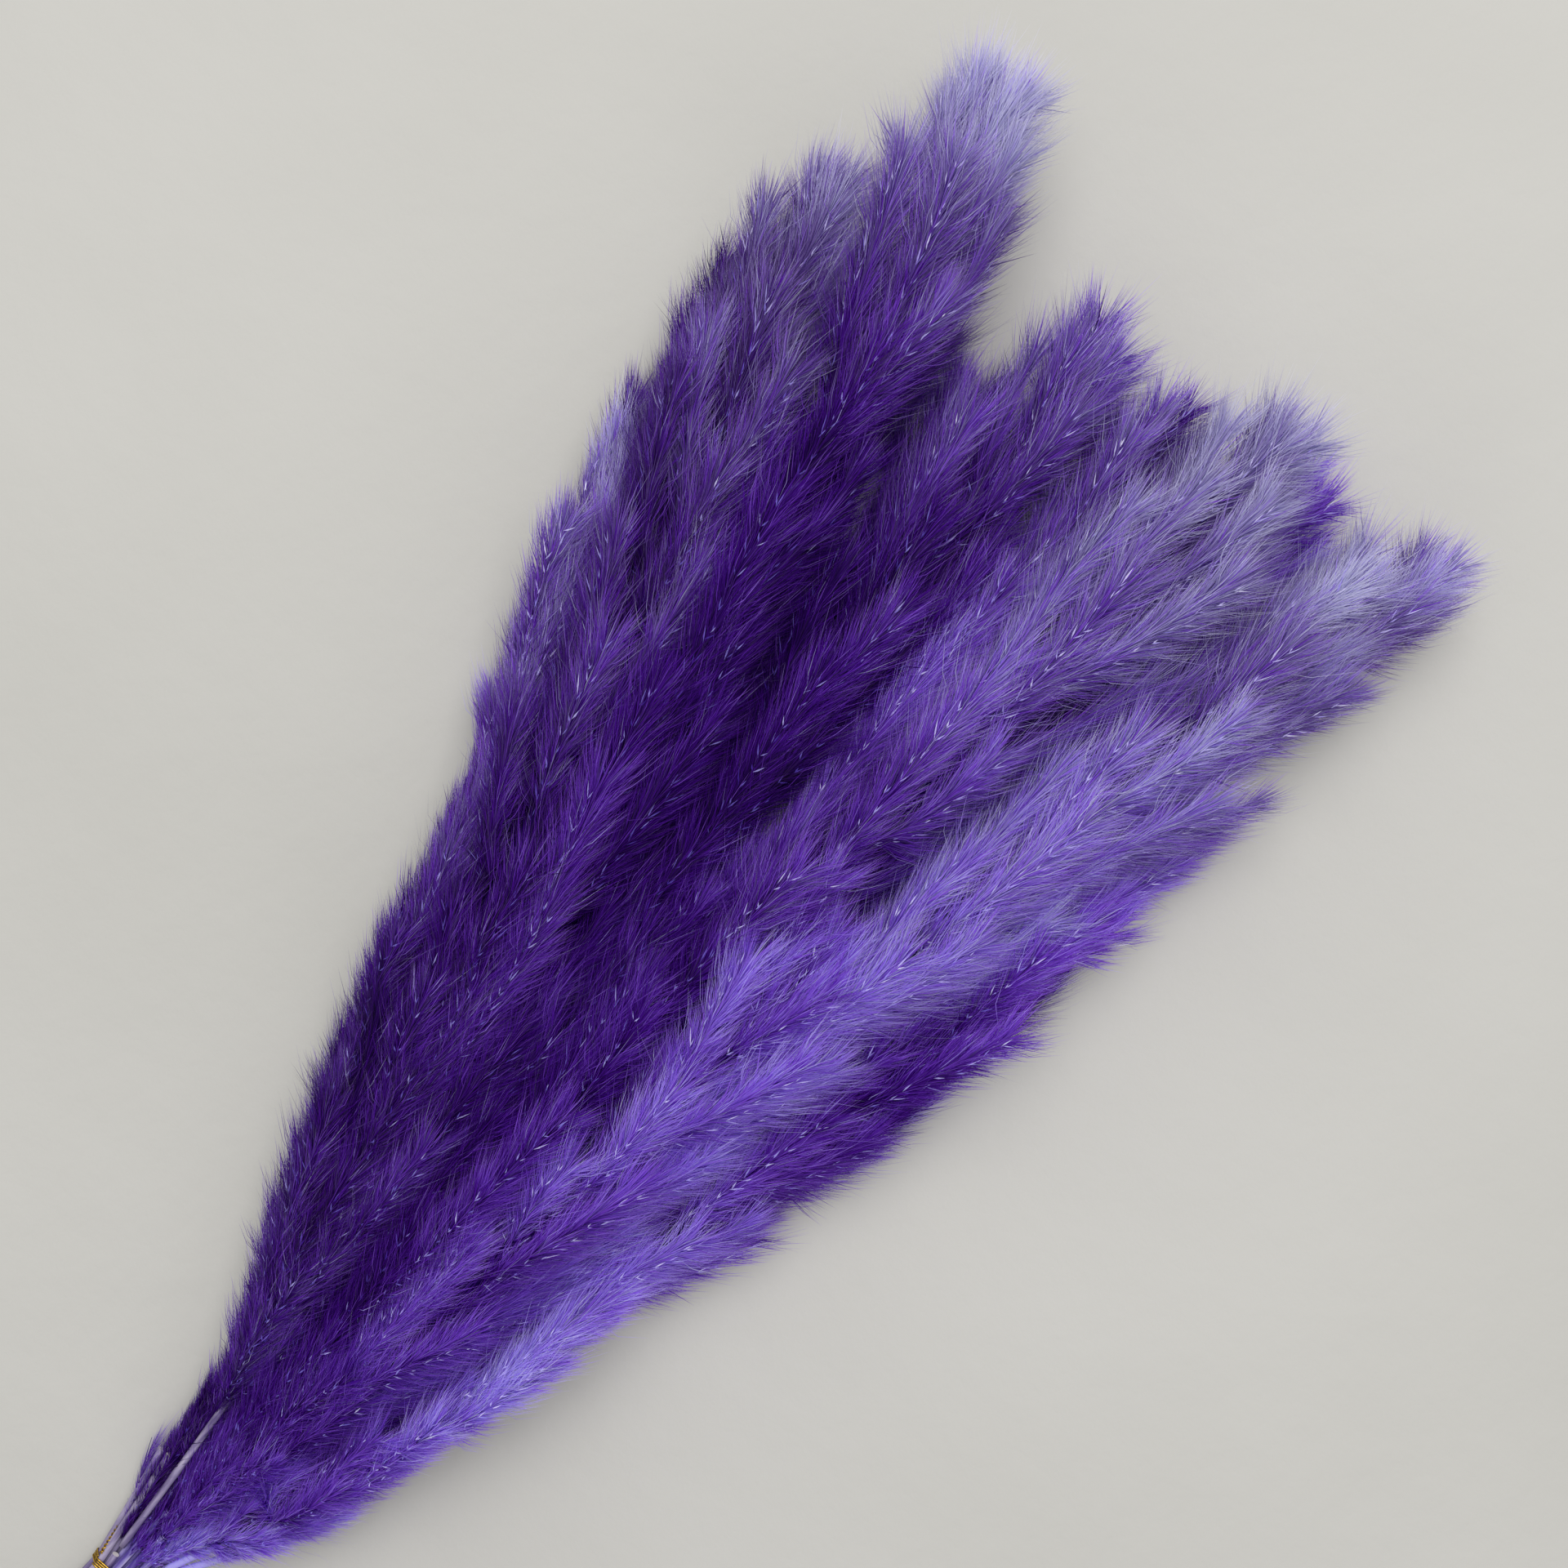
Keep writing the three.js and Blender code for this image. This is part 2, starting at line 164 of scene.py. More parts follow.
# -------- the maps that carry the colours
# Bands of the tone map, from the root of a hair to its tip inside each.
BAND_VIOLET, BAND_GREY, BAND_GLUME, BAND_AXIS = range(4)
BANDS = 4
BAND_MARGIN = 0.012
HAIR_UV_HALF = 0.0016
HAIR_TONES = (0.02, 0.98)
TUBE_TONES = (0.01, 0.99)
TONE_MAP = "Tone"
BAKE_MAP = "OFBake"

# -------- how branches grow
BRANCH_PITCH = 6.6  # along the head's axis
BRANCH_LENGTH = 50.0
BRANCH_STEPS = 8
BRANCH_RADIUS = 0.4
BRANCH_THINNING = 0.8  # the share of its radius that a branch has lost at its end
FEWEST_BRANCHES = 6
FIRST_BRANCH = 0.4  # of a pitch from the head's foot
CROWDING = 1.2  # above 1, branches stand closer towards the tip
FOOT_LENGTH = 0.5  # of their length is what branches at the head's foot have
FOOT_GAIN = 2.5
LENGTH_SCATTER = (0.6, 1.2)
AHEAD_SCATTER = (0.75, 1)  # of the way to the plume's tip is what a branch may take up
PAST_TIP = 14
BRANCH_SPREAD = 0.34  # radians between a branch and the axis where it leaves
SPREAD_ALONG = (0.85, 0.5)  # times this at the foot, and how much more at the tip
SPREAD_SCATTER = (0.7, 1.25)
CLOSING = 0.8  # the share of its spread that a branch loses towards its end
FLARE = (-0.1, 0.26)
ANGLE_SCATTER = 0.2
TWIST = 0.5
CORE_RISE = 0.45  # branches rise from the axis to this share of the core's radius
RISE_STEEP = 5
LEADER_LENGTH = 100.0  # the end of the axis, which bears spikelets itself
LEADER_SHARE = 0.6  # of the head at most
LEADER_PLACE = 0.9
TUFT_PLACE = 0.1
TUFT_CLOSING = 0.4
OWN_SPACE = (0.8, 1.5)  # a branch is too near to another plume by this share and by this much

# Where a branch would run into another plume, it is turned, opened less and shortened by these.
BENDS = [(0, 1, 1), (0.6, 0.8, 1), (-0.6, 0.7, 1), (0, 0.5, 0.95)]
BENDS += [(1, 0.4, 0.9), (-1, 0.3, 0.85), (0, 0.2, 0.8)]


def unit(v):
    return v / np.maximum(np.linalg.norm(v, axis=-1, keepdims=True), 1e-9)


def scatter(a, b):
    """The source's own even scatter of whole numbers, so that stems end where its stems do."""
    wave = math.sin(a * SCATTER_WAVES[0] + b * SCATTER_WAVES[1]) * SCATTER_SCALE
    return wave - math.floor(wave)


def bezier(points, t):
    t = np.asarray(t, float)[..., None]
    a, b, c, d = points
    return (1 - t) ** 3 * a + 3 * (1 - t) ** 2 * t * b + 3 * (1 - t) * t * t * c + t**3 * d


def bezier_along(points, t):
    t = np.asarray(t, float)[..., None]
    a, b, c, d = points
    return unit(3 * (1 - t) ** 2 * (b - a) + 6 * (1 - t) * t * (c - b) + 3 * t * t * (d - c))


def lay_out():
    """Every stalk's curve and the values of its row, as in the source."""
    row_pitch = STEM_PITCH * math.sqrt(3) / 2
    lowest = TIE_LIFT + 2 * WIRE_RADIUS + SEAT_GAP + STEM_RADIUS
    stalks = []
    for r, row in enumerate(ROWS):
        for c, (name, tip, swing, start, bush, tones, greys) in enumerate(row):
            seed = int(name)
            across = ((len(row) - 1) / 2 - c) * STEM_PITCH
            waist = np.array([0, across, lowest + r * row_pitch])
            cut = BUTT_LENGTH - BUTT_SCATTER * scatter(seed, 1)
            butt = np.array([-cut, across * BUTT_SPREAD, STEM_RADIUS + r * row_pitch * BUTT_RISE])
            tip = np.array(tip, float)
            lead = np.array([1, LEAD_SLOPE * across, LEAD_SLOPE * r * row_pitch])
            lead *= min(max(LEAD_SHARE * tip[0], LEAD_SHORTEST), LEAD_LONGEST)
            arch = min(ARCH_OVER_ROW * ROW_HEIGHT[r], ARCH_OVER_TIP * tip[2])
            points = (waist, waist + lead, np.array([tip[0] / 2, swing, arch]), tip)
            ts = np.linspace(0, 1, CURVE_POINTS)
            steps = np.linalg.norm(np.diff(bezier(points, ts), axis=0), axis=1)
            arc = np.concatenate([[0], np.cumsum(steps)])
            head = float(np.interp(start, arc, ts))
            stalk = dict(name=name, seed=seed, row=r, start=start, bush=bush)
            stalk.update(tones=tones, greys=greys, waist=waist, butt=butt, lead=lead)
            stalk.update(points=points, ts=ts, arc=arc, reach=arc[-1], head=head)
            stalk["axis"] = bezier(points, np.linspace(head, 1, AXIS_POINTS))
            stalks.append(stalk)
    return stalks


def across_curve(stalk, t):
    """The directions along the stalk, to its left and upwards at t."""
    along = bezier_along(stalk["points"], t)
    left = unit(np.cross(UP, along))
    return along, left, np.cross(along, left)


def core_radius(stalk, t):
    """The radius of the source's core of a plume at t."""
    beyond_neck = np.maximum(0, (t - stalk["head"]) * stalk["reach"] - NECK_LENGTH)
    swell = RACHIS_RADIUS + CORE_SWELL * beyond_neck
    taper = 1 + CORE_TAPER * (1 - t) * stalk["reach"]
    return np.minimum(np.minimum(swell, CORE_RADIUS * stalk["bush"]), taper)


# -------- meshes
def show(name, mesh, material):
    mesh.materials.append(material)
    piece = bpy.data.objects.new(name, mesh)
    bpy.context.scene.collection.objects.link(piece)
    return piece


class Pile:
    """Faces gathered for one piece: corners, places in the tone map and shading directions."""

    def __init__(self):
        self.points, self.faces, self.uvs, self.normals = [], [], [], []
        self.count = 0

    def add(self, points, faces, uvs, normals):
        self.points.append(points.reshape(-1, 3))
        self.uvs.append(uvs.reshape(-1, 2))
        self.normals.append(normals.reshape(-1, 3))
        self.faces.append(faces.reshape(-1, 3) + self.count)
        self.count += len(self.points[-1])

    def piece(self, name, material):
        points = np.concatenate(self.points)
        faces = np.concatenate(self.faces).astype(np.int32)
        uvs = np.concatenate(self.uvs)
        normals = unit(np.concatenate(self.normals))
        mesh = bpy.data.meshes.new(name)
        mesh.vertices.add(len(points))
        mesh.vertices.foreach_set("co", (points * MM + ORIGIN).ravel())
        mesh.loops.add(faces.size)
        mesh.loops.foreach_set("vertex_index", faces.ravel())
        mesh.polygons.add(len(faces))
        mesh.polygons.foreach_set("loop_start", np.arange(0, faces.size, 3, dtype=np.int32))
        mesh.polygons.foreach_set("use_smooth", np.ones(len(faces), bool))
        for map_name in (TONE_MAP, BAKE_MAP):
            layer = mesh.uv_layers.new(name=map_name)
            layer.uv.foreach_set("vector", uvs[faces.ravel()].ravel())
        mesh.update(calc_edges=True)
        mesh.normals_split_custom_set_from_vertices(normals)
        piece = show(name, mesh, material)
        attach(piece, "root")
        return piece


def band_v(band, w):
    """Where w, from 0 at the root to 1 at the tip, lies in the tone map's band."""
    margin = BAND_MARGIN * BANDS
    return (band + margin + (1 - 2 * margin) * w) / BANDS


def tube(pile, centres, radii, tones, band, sides, w=(0.0, 1.0)):
    """Tubes with centres (tubes, rings, 3), and radii and tones (tubes, rings)."""
    n, rings = centres.shape[:2]
    along = unit(np.gradient(centres, axis=1))
    left = unit(np.cross(UP, along))
    up = np.cross(along, left)
    angle = np.arange(sides) * 2 * np.pi / sides
    outward = left[:, :, None] * np.cos(angle)[:, None] + up[:, :, None] * np.sin(angle)[:, None]
    points = centres[:, :, None] + outward * radii[:, :, None, None]
    share = np.linspace(w[0], w[1], rings)
    u = tones[:, :, None] + np.linspace(-1, 1, sides) * HAIR_UV_HALF * 2
    v = np.broadcast_to(band_v(band, share)[None, :, None], u.shape)
    index = np.arange(n * rings * sides).reshape(n, rings, sides)
    a, b = index[:, :-1], index[:, 1:]
    a2, b2 = np.roll(a, -1, axis=2), np.roll(b, -1, axis=2)
    faces = np.stack([np.stack([a, a2, b2], -1), np.stack([a, b2, b], -1)], -2)
    pile.add(points, faces, np.stack([np.clip(u, *TUBE_TONES), v], -1), outward)


def soft_floor(z, least, soft):
    """z, bent so that it never goes below least."""
    bent = least + soft * np.log1p(np.exp(np.clip((z - least) / soft, *STEEPEST)))
    return np.where(z > least + STRAIGHT_FROM * soft, z, bent)


def settle(points, least):
    """Points laid on the surface where they would be under it, and kept low and narrow enough."""
    z = soft_floor(points[..., 2], least, FLOOR_SOFTNESS)
    points[..., 2] = -soft_floor(-z, -CEILING, EDGE_SOFTNESS)
    y = soft_floor(points[..., 1] - MIDDLE, -WIDEST, EDGE_SOFTNESS)
    points[..., 1] = MIDDLE - soft_floor(-y, -WIDEST, EDGE_SOFTNESS)
    return points


def keep_within(points, beyond):
    """Points drawn in where they would leave the bunch's sides by more than beyond."""
    x, y = points[..., 0], points[..., 1]
    least = -(np.interp(x, SIDE_AT, RIGHT_SIDE) + beyond)
    most = np.interp(x, SIDE_AT, LEFT_SIDE) + beyond
    y = np.where(y < UNMOVED[0], soft_floor(y, least, SIDE_SOFTNESS), y)
    points[..., 1] = np.where(y > UNMOVED[1], -soft_floor(-y, -most, SIDE_SOFTNESS), y)
    return points


def draw_in(points, stray, rng):
    """Hairs held back where they cross the bunch's sides, each a little differently."""
    x, y = points[..., 0], points[..., 1]
    own = rng.uniform(*BEYOND_SCATTER, len(points))[:, None]
    reach = np.interp(x, SIDE_AT, HAIRS_BEYOND) * own
    further = stray[:, None] * np.clip(x / STRAY_FULL, 0, 1) - SIDE_INSET
    left = np.interp(x, SIDE_AT, LEFT_SIDE) + further
    right = -np.interp(x, SIDE_AT, RIGHT_SIDE) - further
    over = np.maximum(y - left, 0)
    under = np.maximum(right - y, 0)
    back = reach * (1 - np.exp(-over / reach)) - over
    points[..., 1] = y + (back - reach * (1 - np.exp(-under / reach)) + under)
    return points


def part_hairs(points, stalks):
    """Hairs pressed down beside the bare stems that lie on top."""
    for stalk in stalks:
        far = CLEARED.get(stalk["name"])
        if far is None:
            continue
        path = bezier(stalk["points"], np.linspace(0, 1, CLEARED_POINTS))
        path = path[path[:, 0] < far]
        x, z = points[..., 0], points[..., 2]
        beside = np.abs(points[..., 1] - np.interp(x, path[:, 0], path[:, 1])) / PARTING
        top = np.interp(x, path[:, 0], path[:, 2]) - STEM_RADIUS + PARTING_RISE * beside**2
        pressed = (x < far) & (beside < PARTING_REACH)
        points[..., 2] = np.where(pressed, np.minimum(z, top), z)
    return points


# -------- plumes
def branch_lines(stalk, t, length, spread, angle, flare, twist):
    """A function that draws a head's branches, turned, opened and shortened as it is told."""
    left, up = across_curve(stalk, t)[1:]
    root = bezier(stalk["points"], t)
    s = np.linspace(0, 1, BRANCH_STEPS + 1)
    rise = np.minimum(1, s * RISE_STEEP)[None, :, None]
    rise = rise * (core_radius(stalk, t) * CORE_RISE)[:, None, None]

    def lines(turn, opening, shorter):
        phi = (spread * opening)[:, None] * (1 - CLOSING * s) + flare[:, None] * s**2 * opening
        round_axis = (angle + turn)[:, None] + (twist * opening)[:, None] * s
        out = left[:, None] * np.cos(round_axis)[..., None]
        out = out + up[:, None] * np.sin(round_axis)[..., None]
        # A branch keeps to the way its stalk goes, which bends ahead of it.
        where = t[:, None] + (length * shorter)[:, None] * s / stalk["reach"]
        way = bezier_along(stalk["points"], np.clip(where, 0, 1))
        step = way * np.cos(phi)[..., None] + out * np.sin(phi)[..., None]
        step *= (length * shorter)[:, None, None] / BRANCH_STEPS
        start = np.zeros((len(t), 1, 3))
        walked = np.concatenate([start, np.cumsum(step[:, :-1], axis=1)], axis=1)
        return root[:, None] + walked + out * rise

    return lines


def clear_of_others(stalk, stalks, lines):
    """The branches, each bent as little as keeps it out of the other plumes."""
    chosen = lines(0, 1, 1)
    others = np.concatenate([other["axis"] for other in stalks if other is not stalk])
    crowded = np.ones(len(chosen), bool)
    share, gap = OWN_SPACE
    for turn, opening, shorter in BENDS:
        tried = lines(turn, opening, shorter)
        outer = tried[:, BRANCH_STEPS // 2 :, None]
        to_own = np.linalg.norm(outer - stalk["axis"][::2], axis=-1).min(-1)
        to_other = np.linalg.norm(outer - others[::2], axis=-1).min(-1)
        fits = (to_other > to_own * share + gap).all(1)
        take = crowded & (fits | (opening == BENDS[-1][1]))
        chosen[take] = tried[take]
        crowded &= ~take
    return chosen


def tuft_line(stalk, at, long, turn, lean):
    """The middle line of a tuft that stands on a stalk by itself."""
    s = np.linspace(0, 1, BRANCH_STEPS + 1)
    t = np.interp(at, stalk["arc"], stalk["ts"])
    along, left, up = across_curve(stalk, t)
    aside = left * math.cos(turn) + up * math.sin(turn)
    leaning = lean * (1 - TUFT_CLOSING * s)
    lift = np.sin(leaning)[:, None] * aside + np.cos(leaning)[:, None] * along
    walked = np.cumsum(np.concatenate([np.zeros((1, 3)), lift[:-1]]), axis=0)
    return bezier(stalk["points"], t) + walked * long / BRANCH_STEPS


def grow_branches(stalk, stalks, rng):
    """The branches of one head as lines (branches, steps + 1, 3). With them go their places along
    the head, as shares of it, their lengths and how far they may stray past the bunch's sides."""
    count = max(FEWEST_BRANCHES, round((stalk["reach"] - stalk["start"]) / BRANCH_PITCH))
    k = np.arange(count)
    share = (k + FIRST_BRANCH) / count
    t = 1 - (1 - stalk["head"]) * (1 - share) ** CROWDING
    ahead = (1 - t) * stalk["reach"]
    full = BRANCH_LENGTH * stalk["bush"] * np.minimum(1, FOOT_LENGTH + FOOT_GAIN * share)
    length = full * rng.uniform(*LENGTH_SCATTER, count)
    length = np.minimum(length, ahead * rng.uniform(*AHEAD_SCATTER, count) + PAST_TIP)
    spread = BRANCH_SPREAD * (SPREAD_ALONG[0] + SPREAD_ALONG[1] * share)
    spread = spread * rng.uniform(*SPREAD_SCATTER, count)
    angle = k * GOLDEN_ANGLE + stalk["seed"] + rng.normal(0, ANGLE_SCATTER, count)
    flare = rng.uniform(*FLARE, count)
    twist = rng.normal(0, TWIST, count)
    lines = branch_lines(stalk, t, length, spread, angle, flare, twist)
    chosen = clear_of_others(stalk, stalks, lines)
    # A few branches stray past the bunch's sides, so that their tips show along its outline.
    strays = rng.random(count) < STRAY_SHARE
    stray = np.where(strays, rng.uniform(*STRAY_BY, count), rng.uniform(*OTHERS_BY, count))
    beyond = stray[:, None] * np.clip(chosen[..., 0] / STRAY_FULL, 0, 1) - SIDE_MARGIN
    chosen = part_hairs(keep_within(chosen, beyond), stalks)
    # The axis itself ends as one more branch.
    leader_length = min(LEADER_LENGTH, LEADER_SHARE * (stalk["reach"] - stalk["start"]))
    begin = 1 - leader_length / stalk["reach"]
    leader = bezier(stalk["points"], np.linspace(begin, 1, BRANCH_STEPS + 1))
    more = [(leader, LEADER_PLACE, (1 - begin) * stalk["reach"], 0.0)]
    for name, at, long, turn, lean in TUFTS:
        if name == stalk["name"]:
            line = tuft_line(stalk, at, long, turn, lean)
            more.append((line, TUFT_PLACE, long, STRAY_BY[0]))
    for line, place, long, by in more:
        chosen = np.concatenate([chosen, line[None]])
        share, length = np.append(share, place), np.append(length, long)
        stray = np.append(stray, by)
    return settle(chosen, BRANCH_GAP), share, length, stray


def along_lines(lines, which, s):
    """Points on lines[which] at shares s, and the directions there."""
    steps = lines.shape[1] - 1
    x = np.clip(s, 0, 1) * steps
    i = np.minimum(x.astype(int), steps - 1)
    f = (x - i)[:, None]
    a, b = lines[which, i], lines[which, i + 1]
    before = lines[which, np.maximum(i - 1, 0)]
    after = lines[which, np.minimum(i + 2, steps)]
    way = (b - before) * (1 - f) + (after - a) * f
    return a + (b - a) * f, unit(way)


# -------- spikelets
FIRST_SEED = 1000
SPIKELET_PITCH = 5.4
SPIKELET_SCATTER = (0.3, 0.7)  # of the pitch
FEWEST_SPIKELETS = 3
BARE_FOOT = 0.06  # of a branch bears none
TURNED_UP = 2.5  # their outer side turns up as if the axis lay this much lower
LENGTH_AT = (0, 0.25, 1)  # shares of the plume's length
LENGTH_THERE = (0.66, 0.95, 1)  # and of the hairs' full length there
OUTER_PLACE = 0.1  # a branch's end counts as this much further along the plume
NECK_FROM = 9.0  # short hairs stand on the axes from this far from the tie
NECK_SCATTER = 3
NECK_PAST = 24  # to this far past the plume's start
NECK_PITCH = 2.8
NECK_TURN = 1.9
NECK_LENGTHS = (0.45, 0.75)
NECK_BEYOND = -3
PALE_FOOT = 0.16  # how much paler a plume is where it begins
PALE_TIP = 0.27  # and how much paler a greyish one is where it ends
PALE_TIP_LENGTH = 0.07
BRANCH_TONES = 0.08  # how much branches differ in tone, and spikelets on them
SPIKELET_TONES = 0.03
# Painted shade: darker towards a branch's foot, inside the plume.
OUTWARD_SHADE_TONE = 0.1  # how much paler a branch's end is than its foot
EVEN_PLACE = 0.4  # where it has the plume's own tone
MORE_GREY = 0.06
HAIR_LENGTH = 19.0
BUSH_LENGTH = 0.4  # the power by which bushier plumes have longer hairs
SIZE_SCATTER = (0.82, 1.15)
LEAN_SCATTER = 0.06
TURN_SCATTER = 0.22


def grow_spikelets(stalk, stalks):
    """The branches of one head and each of its spikelets' place, directions and colours."""
    rng = np.random.default_rng(FIRST_SEED + stalk["seed"])
    lines, share, lengths, stray = grow_branches(stalk, stalks, rng)
    count = len(lines)
    per_branch = np.maximum(FEWEST_SPIKELETS, np.round(lengths / SPIKELET_PITCH).astype(int))
    which = np.repeat(np.arange(count), per_branch)
    order = np.arange(len(which)) - np.repeat(np.cumsum(per_branch) - per_branch, per_branch)
    n = len(which)
    place = (1 - BARE_FOOT) * (order + rng.uniform(*SPIKELET_SCATTER, n)) / per_branch[which]
    place = BARE_FOOT + place
    base, way = along_lines(lines, which, place)
    axis = stalk["axis"]
    out = base - axis[np.linalg.norm(base[:, None] - axis[None], axis=-1).argmin(1)]
    out = out + UP * TURNED_UP
    out = unit(out - way * (out * way).sum(-1, keepdims=True) + way * 1e-3)
    length_share = np.clip(share[which] + place * OUTER_PLACE, 0, 1)
    length_share = np.interp(length_share, LENGTH_AT, LENGTH_THERE)
    # Short hairs along the axis, where the plume begins.
    first = NECK_FROM + NECK_SCATTER * scatter(stalk["seed"], 9)
    neck = np.arange(first, stalk["start"] + NECK_PAST, NECK_PITCH)
    if stalk["name"] in BARE_AXES or stalk["name"] == LONG_STEM:
        neck = neck[:0]
    t = np.interp(neck, stalk["arc"], stalk["ts"])
    along, left, up = across_curve(stalk, t)
    m = len(t)
    turn = np.arange(m)[:, None] * NECK_TURN
    base = np.concatenate([base, keep_within(bezier(stalk["points"], t), NECK_BEYOND)])
    way = np.concatenate([way, along])
    out = np.concatenate([out, left * np.cos(turn) + up * np.sin(turn)])
    which = np.concatenate([which, np.zeros(m, int)])
    order = np.concatenate([order, np.arange(m)])
    place = np.concatenate([place, np.zeros(m)])
    length_share = np.concatenate([length_share, np.linspace(*NECK_LENGTHS, m)])
    n += m
    start, tip = stalk["start"], stalk["points"][3][0]
    ahead = np.clip((base[:, 0] - start) / (tip - start), 0, 1)
    tone = np.interp(ahead, TONES_AT, stalk["tones"])
    tone = tone + PALE_FOOT * np.maximum(0, 1 - ahead / TONES_AT[0])
    pale_tip = PALE_TIP * stalk["greys"][3]
    tone = tone + pale_tip * np.maximum(0, 1 - (1 - ahead) / PALE_TIP_LENGTH)
    tone = tone + rng.normal(0, BRANCH_TONES, count)[which] + rng.normal(0, SPIKELET_TONES, n)
    # Painted shade: a branch is darker towards its foot, deep in the plume, and paler at its end.
    tone = tone + OUTWARD_SHADE_TONE * (place - EVEN_PLACE)
    size = HAIR_LENGTH * stalk["bush"] ** BUSH_LENGTH * length_share
    size = size * rng.uniform(*SIZE_SCATTER, n)
    sp = dict(stalks=stalks, rng=rng, lines=lines, base=base, way=way, out=out, tone=tone)
    sp.update(size=size, ahead=ahead, stray=stray[which], side=np.cross(way, out))
    sp["sign"] = np.where(order % 2 == 0, 1.0, -1.0)
    sp["grey"] = np.interp(ahead, TONES_AT, stalk["greys"]) + MORE_GREY
    sp["lean"] = rng.normal(0, LEAN_SCATTER, n)
    sp["turn"] = rng.normal(0, TURN_SCATTER, n)
    return sp


# How open a spikelet lies: one looks from it through so many cells of this size, in so many
# directions at each tilt in degrees, which counts by its weight.
CELL = 6.0
CELLS = 7
TILTS = ((10, 0.7), (40, 1.0), (70, 1.6))
AZIMUTHS = 6
HIDDEN_BY = 0.3  # how much each spikelet in the way hides
LEAST_OPEN = 0.3  # of the average is what even a buried one keeps


def openness(bases):
    """How open each spikelet lies to the sky and the sides: 1 on average, near 0 where buried."""
    low = bases.min(0) - CELL * (CELLS + 2)
    shape = np.ceil((bases.max(0) + CELL * (CELLS + 2) - low) / CELL).astype(int)
    filled = np.zeros(shape)
    np.add.at(filled, tuple(((bases - low) / CELL).astype(int).T), 1)
    seen = np.zeros(len(bases))
    for elevation, weight in TILTS:
        tilt = math.radians(elevation)
        for k in range(AZIMUTHS):
            azimuth = 2 * math.pi * (k + 0.5) / AZIMUTHS
            level = math.cos(azimuth) * math.cos(tilt), math.sin(azimuth) * math.cos(tilt)
            aim = np.array([*level, math.sin(tilt)])
            met = np.zeros(len(bases))
            for step in range(1, CELLS + 1):
                spot = ((bases + aim * CELL * (step + 0.3) - low) / CELL).astype(int)
                met += filled[tuple(spot.T)]
            seen += weight * np.exp(-HIDDEN_BY * met)
    share = LEAST_OPEN * seen.mean() + seen
    return share / share.mean()


# -------- hairs and bracts
# A blade has two corners at its root and one at its end, a kite has two midway. By the number of
# corners: where they lie across the tone map, in half widths, and along it, and the faces.
SHAPES = {
    3: ((-1, 1, 0), (0, 0, 1), [(0, 1, 2)]),
    4: ((0, -1, 1, 0), (0, 0.45, 0.45, 1), [(0, 2, 1), (1, 2, 3)]),
}


def lay_hairs(pile, sp, points, stray, tone, band, shade, jitter):
    """Hairs or bracts added to the pile, each a blade of one face or a kite of two."""
    n, corners = points.shape[:2]
    across, along, faces = SHAPES[corners]
    settle(part_hairs(draw_in(points, stray, sp["rng"]), sp["stalks"]), FLOOR_GAP)
    u = np.clip(tone + sp["rng"].normal(0, jitter, n), *HAIR_TONES)
    us = u[:, None] + np.array(across) * HAIR_UV_HALF
    vs = band_v(np.asarray(band)[..., None] + np.zeros((n, 1)), np.array(along))
    index = np.arange(corners * n).reshape(n, corners)
    faces = np.concatenate([index[:, face] for face in faces])
    pile.add(points, faces, np.stack([us, vs], -1), np.repeat(shade, corners, axis=0))


BRACTS = ((0.3, 1.0, 0.08), (-0.32, 0.7, 0.0))  # their lean aside, size and how much paler
BRACT_LENGTH = 5.6
BRACT_WIDTH = 0.45
BRACT_PALEST = 0.7  # bracts of pale plumes stand out less
BRACT_TONE = 1.2  # times the plume's own
BRACT_GREYING = 0.3  # how much darker they are on greyish plumes, towards the foot
BRACTS_FULL = 100.0  # nearer to the tie than this they are smaller and darker
BRACTS_LEAST = 0.4
BRACT_SIZES = (0.55, 1.2)
BRACT_LIFT = 3.3  # above the branch
BRACT_ASIDE = (-0.1, 0.9)
BRACT_LEAN = 0.38
BRACT_WIDTHS = (0.6, 1.15)
BRACT_LENGTHS = (0.75, 1.15)


def grow_bracts(pile, sp):
    """Pale slim bracts: one stands out on each spikelet, to alternate sides, and a lesser one
    beside it."""
    rng, base, way, out = sp["rng"], sp["base"], sp["way"], sp["out"]
    n = len(base)
    side = sp["side"] * sp["sign"][:, None]
    near = np.clip(base[:, 0] / BRACTS_FULL, BRACTS_LEAST, 1)
    large = rng.uniform(*BRACT_SIZES, n) * near
    foot = base + out * BRACT_LIFT + side * rng.uniform(*BRACT_ASIDE, n)[:, None]
    for fan, share, paler in BRACTS:
        root = foot + side * rng.normal(0, 0.25, n)[:, None] + way * rng.normal(0, 0.5, n)[:, None]
        turn = rng.normal(fan, 0.16, n)[:, None]
        lean = rng.normal(BRACT_LEAN, 0.12, n)[:, None]
        aim = unit(way * np.cos(turn) + side * np.sin(turn) + out * lean)
        half = (BRACT_WIDTH / 2 * rng.uniform(*BRACT_WIDTHS, n))[:, None]
        flat = unit(np.cross(aim, out)) * half
        size = (BRACT_LENGTH * share * large * rng.uniform(*BRACT_LENGTHS, n))[:, None]
        middle = root + aim * size * 0.4
        end = middle + unit(aim + way * 0.2 + out * 0.1) * size * 0.6
        points = np.stack([root, middle - flat, middle + flat, end], 1)
        tone = np.minimum(sp["tone"] * BRACT_TONE, BRACT_PALEST) * near + paler
        tone = tone - BRACT_GREYING * sp["grey"] * (1 - sp["ahead"])
        shade = unit(out + UP * 0.3)
        lay_hairs(pile, sp, points, sp["stray"], tone, BAND_GLUME, shade, 0.12)


